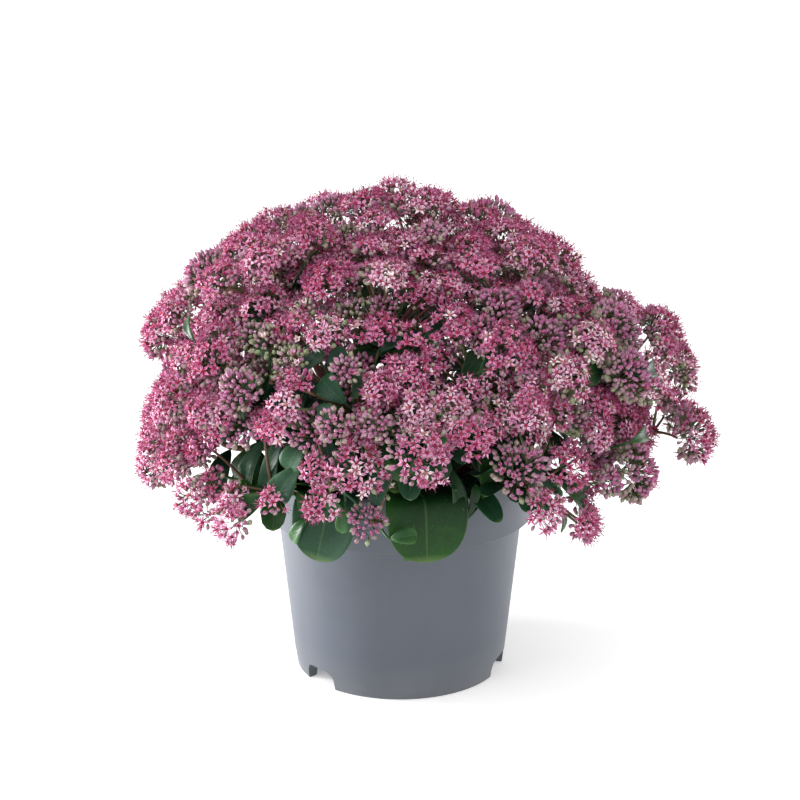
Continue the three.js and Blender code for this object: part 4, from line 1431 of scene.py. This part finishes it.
def build_foliage(number, curve, head):
    rng = np.random.default_rng(300 + number)
    tissue = Tissue()
    for share in PAIR_PLACES:
        foot = curve(share)
        tangent = unit(curve(share + 0.01) - curve(share - 0.01))
        first, second = (v[0] for v in square_to(tangent))
        turn = rng.uniform(0, 2 * math.pi)
        for half in (0, math.pi):
            out = first * math.cos(turn + half) + second * math.sin(turn + half)
            out = unit(out + 0.25 * tangent)
            length = rng.uniform(*PAIR_LENGTH)
            small_leaf(tissue, foot + out * OFF_STEM, out, length, length * rng.uniform(*PAIR_WIDTH),
                       rng.uniform(*PAIR_DROOP), rng)
    first, second = (v[0] for v in square_to(head.axis))
    turn = rng.uniform(0, 2 * math.pi)
    for i in range(WHORL):
        angle = turn + 2 * math.pi * i / WHORL + rng.normal(0, 0.2)
        out = unit(first * math.cos(angle) + second * math.sin(angle)
                   + head.axis * rng.uniform(*WHORL_RISE))
        foot = head.hub - head.axis * rng.uniform(*WHORL_DEPTH) + out * OFF_HUB
        length = rng.uniform(*WHORL_LENGTH)
        small_leaf(tissue, foot, out, length, length * rng.uniform(*WHORL_WIDTH),
                   rng.uniform(*WHORL_DROOP), rng)
    finish = GREEN_LEAF if number % 3 == 0 else BLUE_LEAF
    foliage = tissue.piece(f"foliage_{number:02d}", [finish], "blade")
    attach(foliage, "root")


for number, (curve, head) in enumerate(zip(stem_curves, main_heads), 1):
    build_foliage(number, curve, head)


# The single leaves that show. Young and old ones between the clusters, over the rim and at the edges
# of the dome, each on a short stalk of its own from the nearest stem. A row gives the base and the tip
# as azimuth, radius and height, then the width and the tint.
SEEN_LEAVES = [
    ((-7, 136, 161), (-5, 130, 190), 18, "blue"), ((0, 148, 187), (-6, 150, 203), 12, "green"),
    ((-3, 122, 138), (5, 125, 142), 14, "pale"), ((-17, 122, 162), (-18, 123, 140), 11, "pale"),
    ((-24, 124, 168), (-18, 126, 154), 11, "pale"), ((19, 101, 180), (23, 105, 142), 14, "green"),
    ((30, 104, 187), (35, 106, 155), 24, "green"), ((53, 120, 150), (41, 120, 152), 20, "blue"),
    ((47, 122, 157), (62, 124, 152), 14, "blue"), ((55, 126, 140), (58, 126, 152), 9, "green"),
    ((58, 128, 140), (60, 128, 121), 10, "green"), ((61, 178, 239), (71, 180, 237), 15, "blue"),
    ((62, 174, 239), (59, 168, 249), 14, "green"), ((60, 144, 256), (52, 157, 237), 18, "blue"),
    ((-18, 152, 222), (-18, 146, 236), 16, "blue"), ((-36, 128, 205), (-42, 130, 149), 22, "blue"),
    ((-57, 160, 262), (-63, 157, 275), 11, "green"), ((-39, 160, 221), (-41, 153, 235), 12, "green"),
    ((2, 108, 134), (3, 109, 117), 9, "pale"), ((-32, 115, 144), (-38, 117, 125), 13, "pale"),
    ((-28, 133, 251), (-25, 122, 264), 18, "blue"), ((-22, 128, 257), (-16, 122, 263), 15, "blue"),
    ((-56, 78, 301), (-64, 62, 308), 13, "green"), ((39, 86, 297), (40, 69, 305), 15, "green"),
    ((20, 146, 256), (25, 140, 263), 11, "green"), ((63, 150, 249), (50, 157, 239), 16, "green"),
    ((25, 106, 143), (28, 108, 166), 9, "green"), ((7, 158, 224), (10, 162, 216), 10, "green"),
    ((-11, 152, 197), (-15, 152, 207), 11, "green"), ((-60, 150, 165), (-66, 156, 152), 13, "pale"),
    ((-6, 115, 263), (-1, 104, 273), 15, "blue"), ((-5, 112, 265), (-11, 102, 274), 14, "green"),
    ((-33, 112, 205), (-38, 120, 168), 26, "green"), ((-45, 126, 196), (-50, 134, 160), 22, "blue"),
    ((-28, 104, 200), (-22, 110, 172), 24, "blue"), ((12, 110, 200), (6, 118, 178), 22, "green"),
    ((42, 108, 196), (48, 118, 165), 24, "blue"), ((-4, 120, 205), (3, 128, 185), 20, "green"),
    ((-50, 118, 190), (-58, 130, 158), 24, "green"), ((58, 112, 196), (64, 124, 162), 24, "green"),
    ((-14, 143, 236), (-22, 134, 248), 20, "blue"), ((-12, 141, 239), (-9, 130, 252), 16, "green"),
    ((9, 99, 266), (20, 87, 274), 16, "blue"), ((17, 130, 246), (25, 117, 259), 16, "green"),
    ((-32, 161, 172), (-41, 163, 156), 22, "green"), ((-26, 148, 191), (-31, 153, 170), 24, "blue"),
    ((-25, 142, 209), (-29, 149, 188), 22, "blue"), ((39, 160, 181), (49, 162, 156), 22, "green"),
    ((38, 148, 191), (35, 153, 168), 24, "blue"), ((-40, 131, 255), (-50, 122, 263), 15, "blue"),
    ((-39, 144, 239), (-46, 143, 241), 14, "green"), ((56, 182, 198), (64, 182, 198), 13, "green"),
    ((150, 120, 165), (158, 130, 140), 20, "green"), ((200, 118, 170), (196, 128, 142), 22, "blue"),
    ((240, 130, 170), (246, 142, 150), 18, "green"), ((110, 132, 170), (116, 142, 150), 18, "blue"),
]
SEEN_THICKNESS = 1.8
SEEN_ROWS = 15
SEEN_COLUMNS = 9
SEEN_CUP = 0.18
SEEN_BLUNT = 2.8
SEEN_STALK = 1.1
TINTS = {"blue": BLUE_LEAF, "green": GREEN_LEAF, "pale": PALE_LEAF}


def nearest_on_stems(point):
    """The closest place to a point inside any stem or side shoot."""
    shares = np.linspace(0.06, 0.97, 60)
    runs = np.concatenate([curve(shares) for curve in stem_curves + shoot_curves])
    return runs[np.argmin(np.linalg.norm(runs - point, axis=1))]


def build_seen_leaf(number, base, tip, width, tint):
    rng = np.random.default_rng(900 + number)
    base, tip = place(*base), place(*tip)
    run = tip - base
    outward = unit(base * np.array([1, 1, 0]) + tip * np.array([1, 1, 0])) + 0.35 * UP
    across = unit(np.cross(outward, run) + rng.normal(0, 0.08, 3))
    arch = unit(outward) * np.linalg.norm(run) * 0.12
    tissue = Tissue()
    blade(tissue, smooth_path([base, base + run * 0.35 + arch, base + run * 0.7 + arch * 0.9, tip]),
          across, width, SEEN_THICKNESS, SEEN_ROWS, SEEN_COLUMNS, SEEN_CUP, SMALL_WAVE * width, rng,
          SEEN_BLUNT)
    start = nearest_on_stems(base)
    shares = np.linspace(0, 1, 7)
    middle = (start + base) / 2 + UP * 3
    path = bezier(start, middle, base - run * 0.25, base + run * 0.06)(shares)
    tube(tissue, path, SEEN_STALK - 0.3 * shares, 6, 0, 1, 0)
    leaf = tissue.piece(f"seen_leaf_{number:02d}", [TINTS[tint]], "blade")
    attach(leaf, "root")


for number, (base, tip, width, tint) in enumerate(SEEN_LEAVES, 1):
    build_seen_leaf(number, base, tip, width, tint)


# The studio. A plain white floor under an even white sky, a large soft light from the upper left, a
# low strip light at each side of the pot, and the camera a little above the flowers.
# Each light has its place, size, power in watts and the point that it is aimed at.
LIGHTS = [
    ("key_light", (-1.3, -0.8, 1.8), 1.5, 24, (0, 0, 0.2)),
    ("left_strip", (-0.9, 0.12, 0.1), 0.24, 15, (0, 0, 0.07)),
    ("right_strip", (1.0, 0.3, 0.12), 0.24, 4, (0, 0, 0.07)),
]
FLOOR_GLOW = 0.3
FLOOR_SIZE = 30.0
CAMERA_PLACE = (0.0, -1.4124, 0.6285)
CAMERA_DOWN = math.radians(17.035)
LENS = 94.5
SENSOR_WIDTH = 36.0


def floor_finish():
    finish = Finish("studio_floor", 0.9, 0.1)
    finish.colour(finish.ramp(finish.noise(3, 2.0), [(0.0, paint(248, 248, 248)),
                                                     (1.0, paint(252, 252, 252))]))
    finish.shader.inputs["Emission Color"].default_value = (1, 1, 1, 1)
    finish.shader.inputs["Emission Strength"].default_value = FLOOR_GLOW
    return finish.material


def aim_at(direction):
    """The turn that points a light's -Z along a direction."""
    flat = math.hypot(direction[0], direction[1])
    return (math.atan2(flat, -direction[2]), 0, math.atan2(direction[1], direction[0]) - math.pi / 2)


def build_studio():
    half = FLOOR_SIZE / 2 / MM
    corners = [(-half, -half, 0), (half, -half, 0), (half, half, 0), (-half, half, 0)]
    floor = piece_from("studio_floor", corners, [(0, 1, 2, 3)], [floor_finish()])
    world = bpy.data.worlds.new("studio")
    world.use_nodes = True
    world.node_tree.nodes["Background"].inputs[0].default_value = (1, 1, 1, 1)
    world.node_tree.nodes["Background"].inputs[1].default_value = 1.0
    bpy.context.scene.world = world
    for name, spot, size, power, aim in LIGHTS:
        lamp = bpy.data.lights.new(name, "AREA")
        lamp.size = size
        lamp.energy = power
        light = bpy.data.objects.new(name, lamp)
        light.location = spot
        light.rotation_euler = aim_at(np.array(aim) - np.array(spot))
        bpy.context.scene.collection.objects.link(light)
    lens = bpy.data.cameras.new("camera")
    lens.lens = LENS
    lens.sensor_width = SENSOR_WIDTH
    camera = bpy.data.objects.new("camera", lens)
    camera.location = CAMERA_PLACE
    camera.rotation_euler = (math.pi / 2 - CAMERA_DOWN, 0, 0)
    bpy.context.scene.collection.objects.link(camera)
    bpy.context.scene.camera = camera
    bpy.context.scene.view_settings.view_transform = "Standard"


build_studio()
